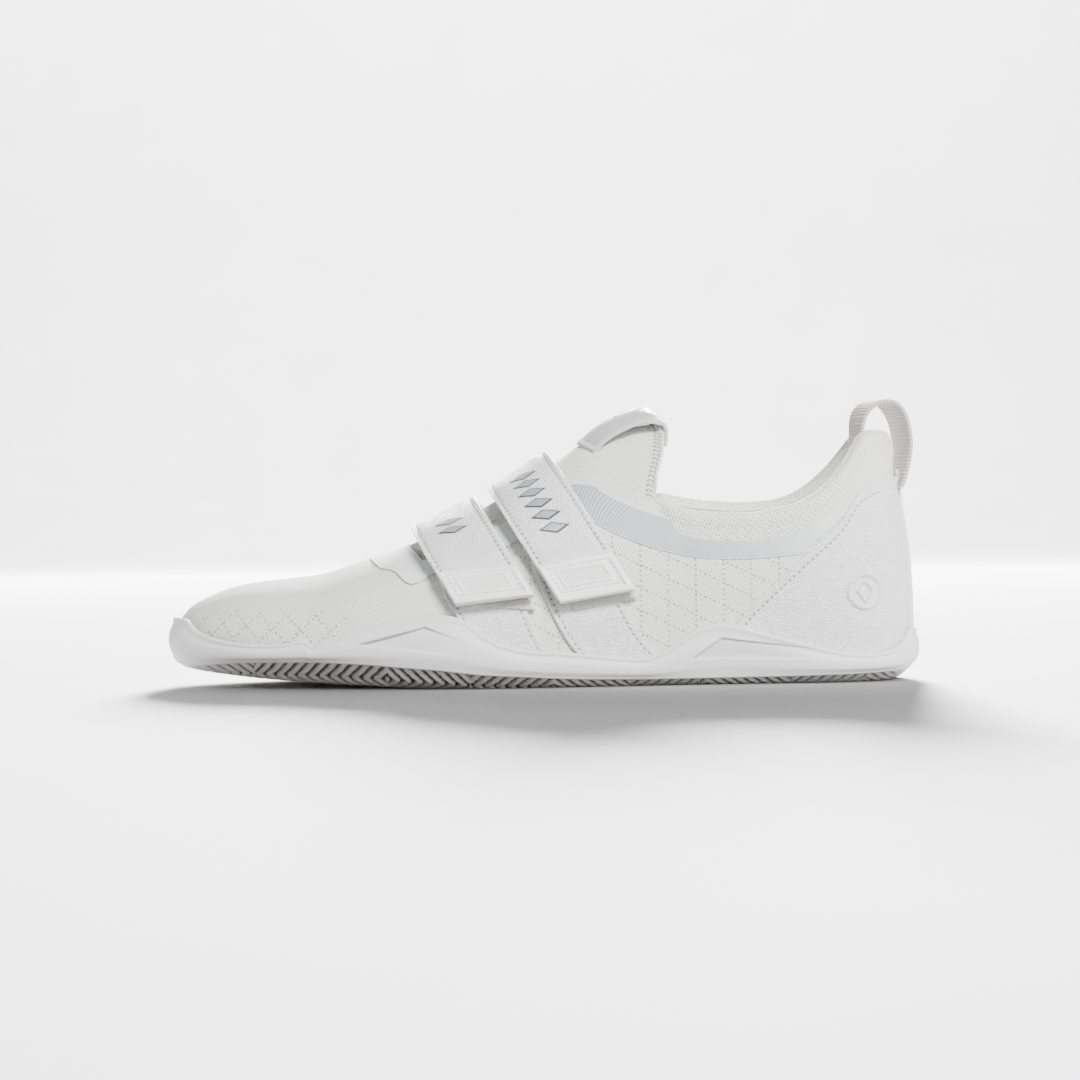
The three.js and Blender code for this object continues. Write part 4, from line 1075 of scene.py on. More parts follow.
def emblem_height(p):
    """A raised ring round a raised lozenge, plain decoration."""
    du, dv = p[..., 0] - EMBLEM[0], p[..., 2] - EMBLEM[1]
    ring = 1 - smooth(np.abs(np.hypot(du, dv) - 6.2), 0.45, 0.9)
    lozenge_edge = np.abs(np.abs(du) / 0.72 + np.abs(dv) - 3.9)
    lozenge = 1 - smooth(lozenge_edge, 0.35, 0.9)
    return np.maximum(ring, lozenge)


def stitched_groove(edge, at=2.0, width=0.55, depth=0.3):
    return -depth * np.exp(-((edge - at) / width) ** 2)


HEEL_EDGE_SLOPE = 0.74


def heel_overlay(side, label):
    """Leather panel from behind the arch round to the back, with a folded, stitched front edge."""
    first = station_at(70 * GRADE_X)

    def place(a, b):
        tau = on_side(side, mix(first, float(HEEL), a))
        low = seat(tau)
        high = low.copy()
        for _ in range(8):
            high = heel_edge(last_point(tau, q_at_height(tau, high))[..., 0])
        return tau, q_at_height(tau, mix(low, np.maximum(high, low + 3), b))

    def detail(u, v, edge, p):
        inward = np.maximum(heel_edge(p[..., 0]) - p[..., 2], 0) * HEEL_EDGE_SLOPE
        fold = 0.32 * (1 - smooth(inward, 1.3, 1.7))
        return stitched_groove(inward, 3.0) + fold + 0.85 * emblem_height(p) + 0.12 * np.sin(p[..., 0] / 9)

    edged_panel("heel_overlay_skin_" + label, place, (100, 52), (230, 150), 1.25, LEATHER, radius=0.7,
                detail=detail, replaces=["heel_overlay_" + label], slot="leather", sharp=55)
    share = np.linspace(0.04, 0.93, 200)
    x = mix(69, 133.5, share) * GRADE_X
    tau, q = locate(x, heel_edge(x) - 3.0 / HEEL_EDGE_SLOPE)
    keep = heel_edge(x) - 4 > rim_height(x) - 1
    tau, q = on_side(side, tau[keep]), q[keep]
    row = (offset_point(tau, q, 1.28), last_normal(tau, q))
    seam("heel_stitching_" + label, [row], "shoe", slot="leather")


def backstay():
    """Folded leather strip up the back with a corded seam on it."""
    start = HEEL - 0.42

    def place(a, b):
        tau = mix(start, ROUND - start, a)
        return tau, q_at_height(tau, mix(float(seat(np.array(float(HEEL)))), 77.5, b))

    edged_panel("backstay_skin", place, (7.5, 62), (24, 120), 1.75, LEATHER, radius=0.8,
                replaces=["heel_backstay"], slot="leather")
    z = np.linspace(15, 80, 420)
    tau = np.full_like(z, float(HEEL))
    spine = offset_point(tau, q_at_height(tau, z), 1.9)
    turn = z / 3.2 * 2 * math.pi
    for k in range(2):
        swing = np.stack([np.sin(turn + k * math.pi) * 0.25, np.cos(turn + k * math.pi) * 0.95, 0 * z], -1)
        tube(f"backstay_cord_{k + 1}", spine + swing, 0.62, THREAD, "shoe", sides=7, slot="leather")


# ---------- straps ----------
TILT = math.radians(31.5)
STRAP_WIDTH, STRAP_GAP = 27.2, 5.6
STRAP_IN, STRAP_OUT = 4.3, 6.3
TAB_IN, TAB_OUT = 6.65, 8.25


def u_of(x, z):
    return x * math.cos(TILT) + z * math.sin(TILT)


def v_of(x, z):
    return z * math.cos(TILT) - x * math.sin(TILT)


def strap_point(u, psi, out):
    """Point on the layer out at u along the straps' axis, where psi crosses the shoe."""
    u, psi, out = np.broadcast_arrays(*(np.asarray(v, float) for v in (u, psi, out)))
    low, high = np.full(u.shape, 3.0), np.full(u.shape, HEEL - 3.0)
    for _ in range(26):
        middle = (low + high) / 2
        p = offset_point(*crossing(middle, psi), out)
        below = u_of(p[..., 0], p[..., 2]) < u
        low, high = np.where(below, middle, low), np.where(below, high, middle)
    return offset_point(*crossing((low + high) / 2, psi), out)


def line_across(first, second):
    (u0, v0), (u1, v1) = [(u_of(x * GRADE_X, z), v_of(x * GRADE_X, z)) for x, z in (first, second)]
    return lambda u: v0 + (v1 - v0) * (u - u0) / (u1 - u0)


FRONT_CENTRE = u_of(-37.8 * GRADE_X, 66.1)
SEWN_LENGTH = 12.6


class Strap:
    """One strap's own coordinates: u across it, psi over the shoe, s along it from its lateral end."""

    def __init__(self, label, centre, tab_top, end, hinge_height, anchor_top, anchor_foot):
        self.label, self.centre = label, centre
        self.low, self.high = centre - STRAP_WIDTH / 2, centre + STRAP_WIDTH / 2
        self.anchor_top, self.anchor_foot = anchor_top, anchor_foot
        self.us = np.linspace(self.low, self.high, 9)
        self.psis = np.linspace(0.03, 1.95, 260)
        table = strap_point(self.us[:, None], self.psis[None, :], STRAP_OUT)
        self.v = v_of(table[..., 0], table[..., 2])
        self.length = arc(np.moveaxis(table, 1, 0)).T
        self.end_psi = self.rising(line_across(*end))
        self.tab_psi = self.rising(line_across(*tab_top))
        hinge_x = (centre - hinge_height * math.sin(TILT)) / math.cos(TILT)
        hinge_v = v_of(hinge_x, hinge_height)
        self.hinge_psi, self.sewn_psi = self.falling(hinge_v), self.falling(hinge_v - SEWN_LENGTH)

    def rising(self, line):
        """psi where the strap crosses a line v(u), on its lateral side."""
        return np.array([np.interp(line(u), v[:v.argmax()], self.psis[:v.argmax()])
                         for u, v in zip(self.us, self.v)])

    def falling(self, height):
        """psi where the strap comes down to a height v, on its medial side."""
        return np.array([np.interp(-height, -v[v.argmax():], self.psis[v.argmax():]) for v in self.v])

    def psi(self, field, u):
        return np.interp(u, self.us, field)

    def run(self, u, share, start="end_psi", stop="hinge_psi"):
        """psi at a share of the strap's length, from one line across it to another."""
        return mix(self.psi(getattr(self, start), u), self.psi(getattr(self, stop), u), share)

    def arc_psi(self, u, s):
        """psi at a distance s from the strap's lateral end."""
        u, s = np.broadcast_arrays(np.asarray(u, float), np.asarray(s, float))
        k = np.clip(np.searchsorted(self.us, u) - 1, 0, len(self.us) - 2)
        t = (u - self.us[k]) / (self.us[k + 1] - self.us[k])
        result = np.zeros(u.shape)
        for index in np.ndindex(u.shape):
            found = []
            for row in (k[index], k[index] + 1):
                begin = np.interp(self.end_psi[row], self.psis, self.length[row])
                found.append(np.interp(begin + s[index], self.length[row], self.psis))
            result[index] = mix(found[0], found[1], t[index])
        return result

    def face(self, u, s, out=STRAP_OUT):
        return strap_point(u, self.arc_psi(u, s), out)

    def normal(self, u, psi):
        return unit(strap_point(u, psi, STRAP_OUT + 1) - strap_point(u, psi, STRAP_OUT))


STRAPS = [
    Strap("front", FRONT_CENTRE, ([-36.2, 43], [-10.3, 45.3]), ([-31.6, 32.1], [-3.4, 35]), 44,
          ([-38.3, 39.8], [-11.5, 50.5]), ([-26.6, 23.8], [5.9, 14.3])),
    Strap("rear", FRONT_CENTRE + STRAP_WIDTH + STRAP_GAP, ([0.7, 45.1], [26.4, 50.1]),
          ([7.8, 32.6], [34.9, 37]), 52, ([-5.6, 51.8], [19.5, 59]), ([18.8, 13.1], [48.6, 15.8])),
]


def bend(piece, strap):
    """For cloth between a strap's span and the end that peels off: bakes the piece's placement into its mesh.
    The peel hinge's axis and centre are read but not used, so nothing bends.
    """
    hinge = next(j for j in frame["joints"] if j["name"] == strap.label + "_strap_peel")
    axis = Vector(hinge["axis"]).normalized()
    centre, body = Vector(hinge["pos_m"]), strap.label + "_strap"
    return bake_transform(piece)


def strap_section():
    """Across a strap: shares of its width and distances out, round its outer face, edges and back."""
    half, radius = STRAP_WIDTH / 2, 0.75
    top = np.concatenate([[-half + radius], np.linspace(-half + 1.1, -half + 3.2, 10),
                          np.linspace(-half + 4, half - 4, 22), np.linspace(half - 3.2, half - 1.1, 10),
                          [half - radius]])
    edge = half - np.abs(top)
    crown = 0.35 * smooth(edge, 2.2, 5.5)
    outer = STRAP_OUT - 0.15 + crown + stitched_groove(edge, 2.1, 0.5, 0.34)
    turn = np.linspace(0, math.pi, 9)[1:-1]
    thick = (STRAP_OUT - 0.15 - STRAP_IN) / 2
    high_edge = [(half - radius + radius * math.sin(t), STRAP_IN + thick + thick * math.cos(t)) for t in turn]
    low_edge = [(-half + radius - radius * math.sin(t), STRAP_IN + thick - thick * math.cos(t)) for t in turn]
    back = [(w, STRAP_IN) for w in np.linspace(half - radius, -half + radius, 12)]
    return np.array(list(zip(top, outer)) + high_edge + back + low_edge)


SECTION = strap_section()


def strap_skin(strap):
    share = np.linspace(0, 1, 210)
    across, out = SECTION[:, 0], SECTION[:, 1]
    u = strap.centre + across
    psi = strap.run(u[None, :], share[:, None])
    wave = 0.16 * np.sin(share[:, None] * 23 + across[None, :] * 0.2) * (out > STRAP_IN + 0.5)
    rings = strap_point(u[None, :], psi, out[None, :] + wave)
    uv, label = stack(share[:, None] * 95, across[None, :]), strap.label
    bend(loft(label + "_strap_skin", rings[:, ::-1], LEATHER, None, uv=uv,
              replaces=[label + "_strap", label + "_strap_end"], slot="leather", sharp=60), strap)


def strap_stitching(strap):
    rows = []
    for across in (-STRAP_WIDTH / 2 + 2.1, STRAP_WIDTH / 2 - 2.1):
        u = np.full(220, strap.centre + across)
        psi = strap.run(u, np.linspace(0.01, 0.985, 220), start="tab_psi")
        rows.append((strap_point(u, psi, STRAP_OUT - 0.12), strap.normal(u, psi)))
    seam(strap.label + "_strap_stitching", rows, None, fold=lambda piece: bend(piece, strap), slot="leather")
    u = np.full(200, strap.centre - STRAP_WIDTH / 2 + 0.35)
    psi = strap.run(u, np.linspace(0.16, 0.99, 200))
    edge = strap_point(u, psi, STRAP_OUT - 0.05)
    bend(tube(strap.label + "_strap_folded_edge", edge, 0.42, LEATHER, None, sides=8, slot="leather"), strap)


LOZENGE = np.array([
    [0, 1], [0.5, 0.5], [1, 0], [0.5, -0.5], [0, -1], [-0.5, -0.5], [-1, 0], [-0.5, 0.5]]) * [5.6, 2.7]


def lozenge_print(strap, first, last, count):
    """A row of plain outlined foil lozenges down the middle of the strap."""
    for part, look, size, lift in (("outline", INK, 1.0, 0.44), ("foil", FOIL, 0.76, 0.58)):
        points = []
        for s in np.linspace(first, last, count):
            for scale, out in ((1.0, 0.2), (0.98, lift), (0.5, lift), (0.0, lift)):
                shape = LOZENGE * size * scale
                points.append(strap.face(strap.centre + shape[:, 0], s + shape[:, 1], STRAP_OUT + out))
        quads = [grid_quads(4, 8, close_m=True) + 32 * k for k in range(count)]
        make(f"{strap.label}_strap_{part}", np.concatenate(points), np.concatenate(quads), look,
             strap.label + "_strap", slot="silver_film", sharp=25)


def strap_tab(strap):
    """Moulded pull tab: a raised rim, a stitched groove, and a sunk textured field."""
    label = strap.label
    width, length = STRAP_WIDTH - 0.8, 12.6
    across, edge_u = edge_steps(width, 92, 0.6)
    along, edge_s = edge_steps(length, 54, 0.6)
    u = strap.low + 0.4 + across * width
    low = strap.psi(strap.end_psi, u)
    high = strap.psi(strap.tab_psi, u)
    overhang = (high - low) * 1.3 / length
    psi = mix((low - overhang)[:, None], high[:, None], along[None, :])
    distance = np.minimum(edge_u[:, None], edge_s[None, :] + 0 * edge_u[:, None])
    lower = smooth(length * (1 - along), 8.2, 11.5)[None, :]
    rim, plate = 1.25 + 0.4 * lower, 0.8
    out = TAB_IN - 0.3 + rim * rounding(distance, 0.7)
    out = out - (rim - plate) * smooth(distance, 1.7, 2.2)
    box_u = np.abs(across * width - width / 2)[:, None] - (width / 2 - 5.0)
    box_s = np.abs(along * length - length * 0.56)[None, :] - (length / 2 - 3.7)
    inside = np.maximum(box_u, box_s)
    out = out + 0.4 * (1 - smooth(np.abs(inside + 0.2), 0.25, 0.65)) - 0.12 * (1 - smooth(inside, -0.6, -0.2))
    field = 1 - smooth(inside, -1.0, -0.6)
    outer = strap_point(u[:, None], psi, out)
    inner = strap_point(u[:, None], psi, np.full_like(out, TAB_IN - 0.75) - 0.25 * lower)
    shell(label + "_strap_tab_skin", outer, inner, MOULDED, label + "_strap_end",
          uv=stack((across * width)[:, None], (along * length)[None, :]),
          marks={"field": field}, replaces=[label + "_strap_tab"], slot="moulded_tab", sharp=50)
    left, right, bottom, top = 2.6, width - 2.6, 3.0, length - 1.9
    corners = [(left, top), (left, bottom), (right, bottom), (right, top), (left, top)]
    rows = []
    for (a0, b0), (a1, b1) in zip(corners[:-1], corners[1:]):
        a, b = np.linspace(a0, a1, 30), np.linspace(b0, b1, 30)
        at = strap.low + 0.4 + a
        lo, hi = strap.psi(strap.end_psi, at), strap.psi(strap.tab_psi, at)
        ps = mix(lo - (hi - lo) * 1.3 / length, hi, b / length)
        rows.append((strap_point(at, ps, TAB_IN + 0.45), strap.normal(at, ps)))
    seam(label + "_tab_stitching", rows, label + "_strap_end", pitch=1.8, radius=0.2, slot="moulded_tab")


def hook_patch(strap):
    """Hook tape under the strap's end: a backing with rows of bent hooks. Its fuzzy lower edge comes from
    strap_fuzz.
    """
    label = strap.label
    u = np.linspace(strap.low + 1.3, strap.high - 1.3, 40)
    low, high = strap.psi(strap.end_psi, u), strap.psi(strap.tab_psi, u)
    along = np.linspace(0.02, 0.97, 22)
    psi = mix(low[:, None], high[:, None], along[None, :])
    outer, inner = (strap_point(u[:, None], psi, out) for out in (4.35, 3.75))
    shell(label + "_hook_tape", outer, inner, HOOK_TAPE, label + "_strap_end",
          uv=stack(u[:, None], along[None] * 12), replaces=[label + "_strap_hook"], slot="hook_tape")
    a, b = np.meshgrid(np.linspace(0.03, 0.97, 30), np.linspace(0.07, 0.93, 13))
    at = mix(u[0], u[-1], a.ravel())
    ps = mix(strap.psi(strap.end_psi, at), strap.psi(strap.tab_psi, at), b.ravel())
    root = strap_point(at, ps, 3.8)
    inward = unit(strap_point(at, ps, 2.8) - root)
    across = unit(strap_point(at + 1, ps, 3.8) - root) * rng.choice([-1, 1], len(at))[:, None]
    side = np.cross(inward, across)
    bent = [(0, 0), (0.35, 0), (0.62, 0.12), (0.66, 0.36), (0.5, 0.46)]
    turn = np.arange(5) * 2 * math.pi / 5
    ring = np.cos(turn)[:, None] * across[:, None] + np.sin(turn)[:, None] * side[:, None]
    points = np.stack([
        (root + inward * deep + across * aside)[:, None] + ring * (0.05 if k == 4 else 0.11)
        for k, (deep, aside) in enumerate(bent)], 1)
    quads = grid_quads(5, 5, close_m=True)[None] + 25 * np.arange(len(at))[:, None, None]
    make(label + "_hooks", points, quads.reshape(-1, 4), HOOK_TAPE, label + "_strap_end", slot="hook_tape",
         sharp=180)


def fibres(name, roots, directions, length, radius, look, body, **more):
    """Short curved hairs."""
    points, quads = [], []
    turn = np.arange(3) * 2 * math.pi / 3
    for root, ahead in zip(roots, directions):
        reach = length * rng.uniform(0.5, 1.2)
        sway = rng.normal(0, 0.35, 3)
        side = unit(np.cross(ahead, [0.3, 0.2, 1.0]))
        up = np.cross(side, ahead)
        for k, share in enumerate((0, 0.45, 1)):
            p = root + ahead * reach * share + sway * reach * share ** 2
            w = radius * (1 - 0.7 * share)
            points.append(p + w * (np.cos(turn)[:, None] * side + np.sin(turn)[:, None] * up))
        quads.append(grid_quads(3, 3, close_m=True) + 9 * len(quads))
    return make(name, np.concatenate(points), np.concatenate(quads), look, body, sharp=180, **more)


def strap_fuzz(strap):
    """Loose hairs along the hook tape's lower edge."""
    at = rng.uniform(strap.low + 1, strap.high - 1, 260)
    psi = strap.psi(strap.end_psi, at) - 0.004
    root = strap_point(at, psi, rng.uniform(3.6, 4.6, 260))
    down = unit(strap_point(at, psi - 0.03, 4.2) - strap_point(at, psi, 4.2))
    fibres(strap.label + "_hook_fuzz", root, down, 0.85, 0.07, SHADOW_GAP, strap.label + "_strap_end",
           slot="hook_tape")


def anchor(strap, side, label):
    """Leather strip from a strap's tape down to the sole."""
    (top_toe, top_heel), (foot_toe, foot_heel) = strap.anchor_top, strap.anchor_foot

    def place(a, b):
        x = mix(mix(foot_toe[0], foot_heel[0], a), mix(top_toe[0], top_heel[0], a), b) * GRADE_X
        z = mix(mix(foot_toe[1], foot_heel[1], a), mix(top_toe[1], top_heel[1], a), b)
        low = seat(locate(x, z)[0])
        foot = np.maximum(mix(foot_toe[1], foot_heel[1], a), low)
        tau, q = locate(x, mix(np.minimum(foot, low), z, b))
        return on_side(side, tau), q

    def detail(u, v, edge, p):
        fold = 0.4 * (1 - smooth(u, 1.3, 1.7)) - 0.25 * np.exp(-((u - 0.9) / 0.25) ** 2)
        return stitched_groove(np.minimum(u, 27.5 - u), 2.3, 0.5, 0.3) + fold

    name = f"{strap.label}_anchor_{label}"
    edged_panel(name + "_skin", place, (27.5, 40), (96, 80), 1.2, LEATHER, radius=0.6, detail=detail,
                replaces=[name], slot="leather", sharp=60)
    rows = []
    for a in (2.3 / 27.5, 1 - 2.3 / 27.5):
        tau, q = place(np.full(60, a), np.linspace(0.02, 0.98, 60))
        rows.append((offset_point(tau, q, 1.02), last_normal(tau, q)))
    seam(name + "_stitching", rows, "shoe", slot="leather")


def loop_field(strap):
    """The napped tape that the hooks hold."""
    (top_toe, top_heel), (foot_toe, foot_heel) = strap.anchor_top, strap.anchor_foot

    def edge(top, foot, shift):
        """Lower and upper corner of one edge, a little inside the anchor's edge."""
        return (mix(top[0], foot[0], 0.62) + shift, mix(top[1], foot[1], 0.62)), (top[0] + shift, top[1] - 1)

    (low_toe, high_toe), (low_heel, high_heel) = edge(top_toe, foot_toe, 2), edge(top_heel, foot_heel, -2)

    def place(a, b):
        x, z = (mix(mix(low_toe[k], low_heel[k], a), mix(high_toe[k], high_heel[k], a), b) for k in (0, 1))
        return locate(x * GRADE_X, z)

    label, hairs = strap.label, 1500
    edged_panel(label + "_loop_tape", place, (22, 18), (30, 26), 2.4, LOOP_TAPE, sink=1.2, radius=0.5,
                replaces=[label + "_loop_pile"], slot="loop_tape")
    tau, q = place(*rng.uniform(0.03, 0.97, (2, hairs)))
    lean = unit(last_normal(tau, q) + rng.normal(0, 0.7, (hairs, 3)))
    fibres(label + "_loop_nap", offset_point(tau, q, 2.2), lean, 0.75, 0.06, LOOP_TAPE, "shoe",
           slot="loop_tape")


def strap_fold(strap):
    """The strap's sewn-down medial end, which thins towards its edge."""
    foot, label = 1.4, strap.label

    def thinned(share):
        return 1 - 0.55 * smooth(share, 0.25, 0.95)

    share = np.linspace(0, 1, 60)
    across, out = SECTION.T
    out = np.where(out < STRAP_IN + 0.3, foot, out)
    u = strap.centre + across
    psi = mix(strap.psi(strap.hinge_psi, u)[None, :] + 0.006, strap.psi(strap.sewn_psi, u)[None, :],
              share[:, None])
    rings = strap_point(u[None, :], psi, foot + (out - foot)[None, :] * thinned(share)[:, None])
    loft(label + "_strap_fold_skin", rings[:, ::-1], LEATHER, "shoe",
         uv=stack(share[:, None] * 14, across[None, :]), replaces=[label + "_strap_fold"], slot="leather",
         sharp=60)
    rows, w = [], np.linspace(strap.low + 2.1, strap.high - 2.1, 40)
    for row_share in (0.55, 0.8):
        psi = strap.run(w, row_share, start="hinge_psi", stop="sewn_psi")
        rows.append((strap_point(w, psi, foot + 5.0 * thinned(row_share)), strap.normal(w, psi)))
    seam(label + "_fold_stitching", rows, "shoe", slot="leather")


# ---------- tongue ----------
TONGUE_FRONT, TONGUE_REAR = 14.7 * GRADE_X, 45.5 * GRADE_X
tongue_tail = curve([[0, 0.3], [0.35, 1.7], [0.6, 1.0], [0.85, -1.8], [1, -2.6]])


def tongue():
    """One ribbed tongue from the throat to its free upper edge."""
    start = float(outline(THROAT_START)[0]) - 2
    b = np.linspace(-1, 1, 121)
    columns_out, columns_in = [], []
    for x in np.linspace(start, TONGUE_REAR, 230):
        under = throat_edge(min(x, COLLAR_START)) - mix(5, 3, float(smooth(x, 5, 25)))
        low, high = (float(q_at_height(on_side(side, station_at(x)), under)) for side in (LATERAL, MEDIAL))
        psi = np.where(b < 0, mix(1.0, low, -b), mix(1.0, 2 - high, b))
        sweep = x + tongue_tail(np.abs(b)) * float(smooth(x, TONGUE_FRONT, TONGUE_REAR))
        tau, q = crossing(station_at(sweep), psi)
        z = last_point(tau, q)[..., 2]
        free = smooth(x, 2, 20) * smooth(z, 66, 80)
        tucked = mix(0.2, -1.9, smooth(np.abs(b), 0.45, 0.8))
        out = mix(tucked, -0.05, free)
        columns_out.append(offset_point(tau, q, out))
        columns_in.append(offset_point(tau, q, out - 1.8))
    outer, inner = np.array(columns_out), np.array(columns_in)
    v, middle = arc(np.moveaxis(outer, 1, 0)).T, len(b) // 2
    uv = stack(arc(outer[:, middle])[:, None], v - v[:, middle:middle + 1])
    bend_tongue(shell("tongue_knit", outer, inner, RIB, None, uv=uv, replaces=["tongue", "tongue_top"],
                      slot="rib_knit", sharp=70))
    edge, inside = outer[-1, 4:-4], outer[-16, 4:-4]
    inward, normal = unit(inside - edge), unit(edge - inner[-1, 4:-4])
    bend_tongue(stitches("tongue_whip_stitch", [(edge + inward * 1.25, normal)], THREAD, None, pitch=1.9,
                         length=2.9, radius=0.45, slant=2.6, lift=0.3, slot="rib_knit"))
    # dark beads of painted shade for the whip stitch's needle holes
    bend_tongue(stitches("tongue_whip_holes", [(edge + inward * 3.1, normal)], HOLE_SHADE, None, pitch=1.9,
                         length=1.1, radius=0.4, lift=0.05, slot="rib_knit"))
    bend_tongue(tube("tongue_bound_edge", edge + inward * 0.4, 0.85, RIB, None, sides=8, slot="rib_knit"))


def bend_tongue(piece):
    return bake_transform(piece)


def tongue_pull():
    """Leather pull: an arched strip, stitched down in front with a zigzag."""
    crest = round_spline([[x * GRADE_X, z] for x, z in [
        (14.2, 91.9), (16.6, 94.1), (20, 97.2), (25, 100.6), (31.2, 103.6), (36.5, 105.5), (41, 105.5),
        (45, 103.3), (47.3, 99.8), (48.3, 95.5), (48.4, 91.5)]], 90)
    ahead = unit(np.gradient(crest, axis=0))
    out = np.stack([-ahead[:, 1], ahead[:, 0]], -1)
    half, thick = 15.0, 1.3
    width, edge = edge_steps(2 * half, 40, 0.6)
    b = 2 * width - 1
    a = np.linspace(0, 1, 90)
    droop = mix(5.6, 6.8, a)[:, None] * b[None, :] ** 2
    lean = np.maximum(out[:, 1], 0.25)[:, None]
    x = crest[:, 0][:, None] + 6.5 * b[None] ** 2 * (1 - a)[:, None]
    z = crest[:, 1][:, None] - droop * lean
    soft = thick * (rounding(edge, 0.6) - 1)[None, :] * 0.5
    middle = stack(x, 2 * GRADE_Y + half * b[None, :], z)
    normal = stack(out[:, 0][:, None], 0 * b[None], out[:, 1][:, None])
    hem = 0.28 * (1 - smooth(edge, 1.6, 2.0))[None, :]
    outer = middle + normal * (soft + hem)[..., None]
    inner = middle - normal * (thick + soft)[..., None]
    shell("tongue_pull_skin", outer, inner, SMOOTH_LEATHER, "tongue_top",
          uv=stack(arc(crest)[:, None], half * b[None]), replaces=["tongue_pull_loop"], slot="leather",
          sharp=50)
    front = outer[4, 3:-3] + normal[4, 3:-3] * 0.1
    up = np.broadcast_to(normal[4, 3:-3], front.shape)
    for tag, way in (("a", 1.1), ("b", -1.1)):
        stitches("tongue_pull_zigzag_" + tag, [(front, up)], THREAD, "tongue_top", pitch=1.7, length=2.5,
                 radius=0.27, slant=way, slot="leather")
    lozenge = np.array([[0, 4.2], [4.6, 0], [0, -4.2], [-4.6, 0]])
    rings, spot = [], 42
    for scale, lift in ((1.0, 0.02), (0.95, 0.28), (0.62, 0.28), (0.58, 0.02)):
        shape = lozenge * scale
        row = np.clip(spot + shape[:, 1] * 2.6, 0, 89).astype(int)
        column = np.clip(np.searchsorted(half * b, shape[:, 0] - 4.5), 0, len(b) - 1)
        rings.append(outer[row, column] + normal[row, column] * lift)
    make("tongue_pull_print", np.concatenate(rings), grid_quads(4, 4, close_m=True), FOIL, "tongue_top",
         slot="silver_film", sharp=25)


def heel_loop():
    """Ribbed webbing, sewn inside the collar and outside the heel."""
    path = [(122.6, 84.5), (122.7, 94), (123.9, 101), (127.2, 105.3), (131.9, 106.6), (135.9, 104.9),
            (139, 99.6), (140.6, 91.7), (140.6, 85), (139.4, 77), (138.9, 73)]
    steps, twist = 120, math.radians(29)
    line = round_spline([[x + HALF_LENGTH - DRAWN_HALF_LENGTH, z] for x, z in path], steps)
    ahead = unit(np.gradient(line, axis=0))
    turn = twist * np.sin(math.pi * np.linspace(0, 1, steps)) ** 0.7
    normal = unit(stack(-ahead[:, 1] * np.cos(turn), -ahead[:, 1] * np.sin(turn), ahead[:, 0]))
    across = stack(-np.sin(turn), np.cos(turn), 0 * turn)
    width, thick = 13.4, 1.5
    dense = np.linspace(-width / 2 + 0.7, width / 2 - 0.7, 14)
    w = np.concatenate([dense, [width / 2 - 0.2, width / 2, width / 2 - 0.2], dense[::-1],
                        [-width / 2 + 0.2, -width / 2, -width / 2 + 0.2]])
    h = np.concatenate([np.full(14, thick / 2), [thick * 0.42, 0, -thick * 0.42], np.full(14, -thick / 2),
                        [-thick * 0.42, 0, thick * 0.42]])
    centre = stack(line[:, 0], 0, line[:, 1])
    rings = centre[:, None] + across[:, None] * w[None, :, None] + normal[:, None] * h[None, :, None]
    uv = stack(arc(line)[:, None], w[None])
    loft("heel_pull_webbing", rings[:, ::-1], WEBBING, "shoe", uv=uv[:, ::-1], replaces=["heel_pull_loop"],
         slot="webbing", sharp=60)


# ---------- CAD nodes that stay inside the shoe ----------
INNER = {"strobel_board": FIBRE, "collar_foam": FOAM, "toe_puff": FIBRE, "heel_counter": FIBRE}


def dress_inner_nodes():
    """Materials for the sealed inner layers, which keep their CAD shape."""
    for name, look in INNER.items():
        mesh = frame["nodes"][name].data
        mesh.materials.clear()
        mesh.materials.append(look)


# ---------- scene ----------
def area_light(name, place, aim, size, power, spread=180):
    data = bpy.data.lights.new(name, "AREA")
    data.shape = "RECTANGLE"
    data.size, data.size_y = size
    data.energy = power
    data.spread = math.radians(spread)
    light = bpy.data.objects.new(name, data)
    light.location = place
    light.rotation_euler = (Vector(aim) - Vector(place)).to_track_quat("-Z", "Y").to_euler()
    bpy.context.scene.collection.objects.link(light)
    return light


def named_group(name, piece, state):
    """A collection that tells a light to include or exclude one piece."""
    group = bpy.data.collections.new(name)
    group.objects.link(piece)
    group.collection_objects[0].light_linking.link_state = state
    return group


def shadow_light(floor):
    """A low, distant light from behind that falls on the floor alone, for the soft shadow in front."""
    rise = math.radians(13.5)
    data = bpy.data.lights.new("shadow_light", "SUN")
    data.energy = 41
    data.angle = math.radians(12)
    light = bpy.data.objects.new("shadow_light", data)
    ahead = Vector((-0.04, -math.cos(rise), -math.sin(rise)))
    light.rotation_euler = ahead.to_track_quat("-Z", "Y").to_euler()
    bpy.context.scene.collection.objects.link(light)
    light.light_linking.receiver_collection = named_group("shadow_receiver", floor, "INCLUDE")
    light.light_linking.blocker_collection = named_group("shadow_blocker", floor, "EXCLUDE")


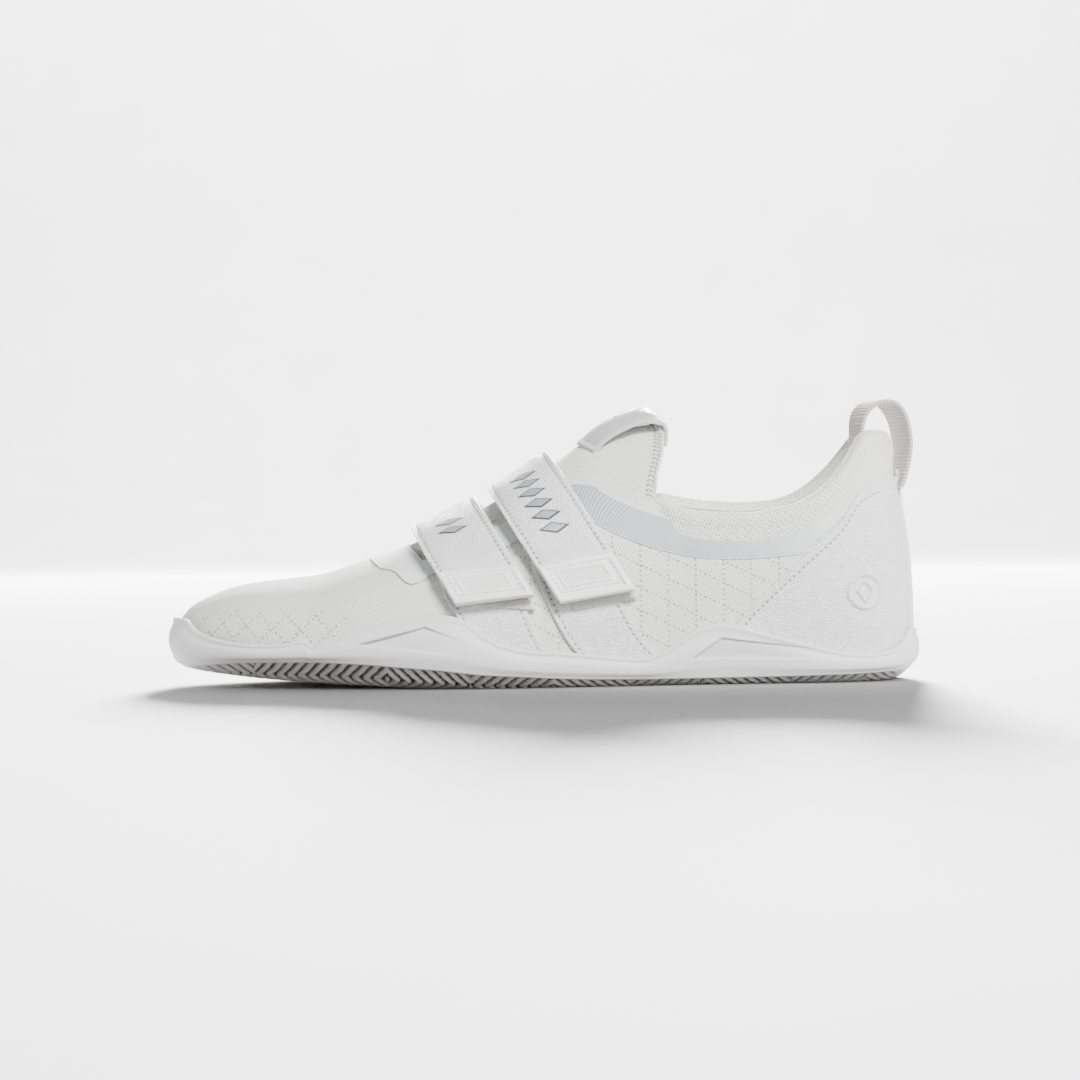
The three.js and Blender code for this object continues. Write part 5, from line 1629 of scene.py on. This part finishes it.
def studio():
    """Soft light, and a pale paper floor that curves up behind. The front and back lights miss the floor."""
    world = bpy.data.worlds.new("studio")
    world.use_nodes = True
    world.node_tree.nodes["Background"].inputs[0].default_value = (1, 1, 1, 1)
    world.node_tree.nodes["Background"].inputs[1].default_value = 0.32
    bpy.context.scene.world = world
    off_floor = [
        area_light("key", (0.5, -0.9, 0.9), (0, 0, 0.03), (0.45, 0.35), 42),
        area_light("front_fill", (0.9, -1.3, 0.4), (0, 0, 0.05), (0.8, 0.5), 9),
        area_light("back_light", (0.2, 2.4, 1.2), (0, 0, 0.0), (0.7, 0.4), 32, spread=50)]
    area_light("backdrop_light", (0, 2.5, 2.7), (0, 3.9, 0.4), (3.2, 1.0), 285, spread=150)
    wall_y, cove, below_sole = 4.1, 0.7, 2e-5
    profile = [(-3.0, 0.0), (wall_y - cove, 0.0)]
    profile += [(wall_y - cove + cove * math.sin(t), cove - cove * math.cos(t))
                for t in np.linspace(0.08, math.pi / 2, 14)]
    profile.append((wall_y, 4.0))
    points = np.array([[side, y, z - below_sole] for y, z in profile for side in (-5.0, 5.0)]) / MM
    look = plain_look("paper", (0.975, 0.975, 0.975), 0.95, 0.02, 0.0)
    floor = make("floor", points, grid_quads(len(profile), 2)[:, ::-1], look, None, sharp=180)
    for light in off_floor:
        light.light_linking.receiver_collection = named_group(light.name + "_receiver", floor, "EXCLUDE")
    shadow_light(floor)


def camera():
    """Level with the shoe's middle and square to its outer side."""
    data = bpy.data.cameras.new("camera")
    data.lens = 86.1
    data.sensor_width = 36
    data.clip_start = 0.01
    seen = bpy.data.objects.new("camera", data)
    seen.location = (-0.0004, -1.0, 0.0546)
    seen.rotation_euler = (math.pi / 2, 0.0112, 0)
    bpy.context.scene.collection.objects.link(seen)
    bpy.context.scene.camera = seen


camera()
studio()
dress_inner_nodes()
tread(side_wall())
knit_upper()
lining()
footbed()
film()
for side, label in ((LATERAL, "lateral"), (MEDIAL, "medial")):
    band(side, label)
    heel_overlay(side, label)
    for strap in STRAPS:
        anchor(strap, side, label)
backstay()
for strap in STRAPS:
    strap_skin(strap)
    strap_stitching(strap)
    strap_tab(strap)
    hook_patch(strap)
    strap_fuzz(strap)
    loop_field(strap)
    strap_fold(strap)
lozenge_print(STRAPS[0], 38, 45, 2)
lozenge_print(STRAPS[1], 30, 63, 6)
tongue()
tongue_pull()
heel_loop()
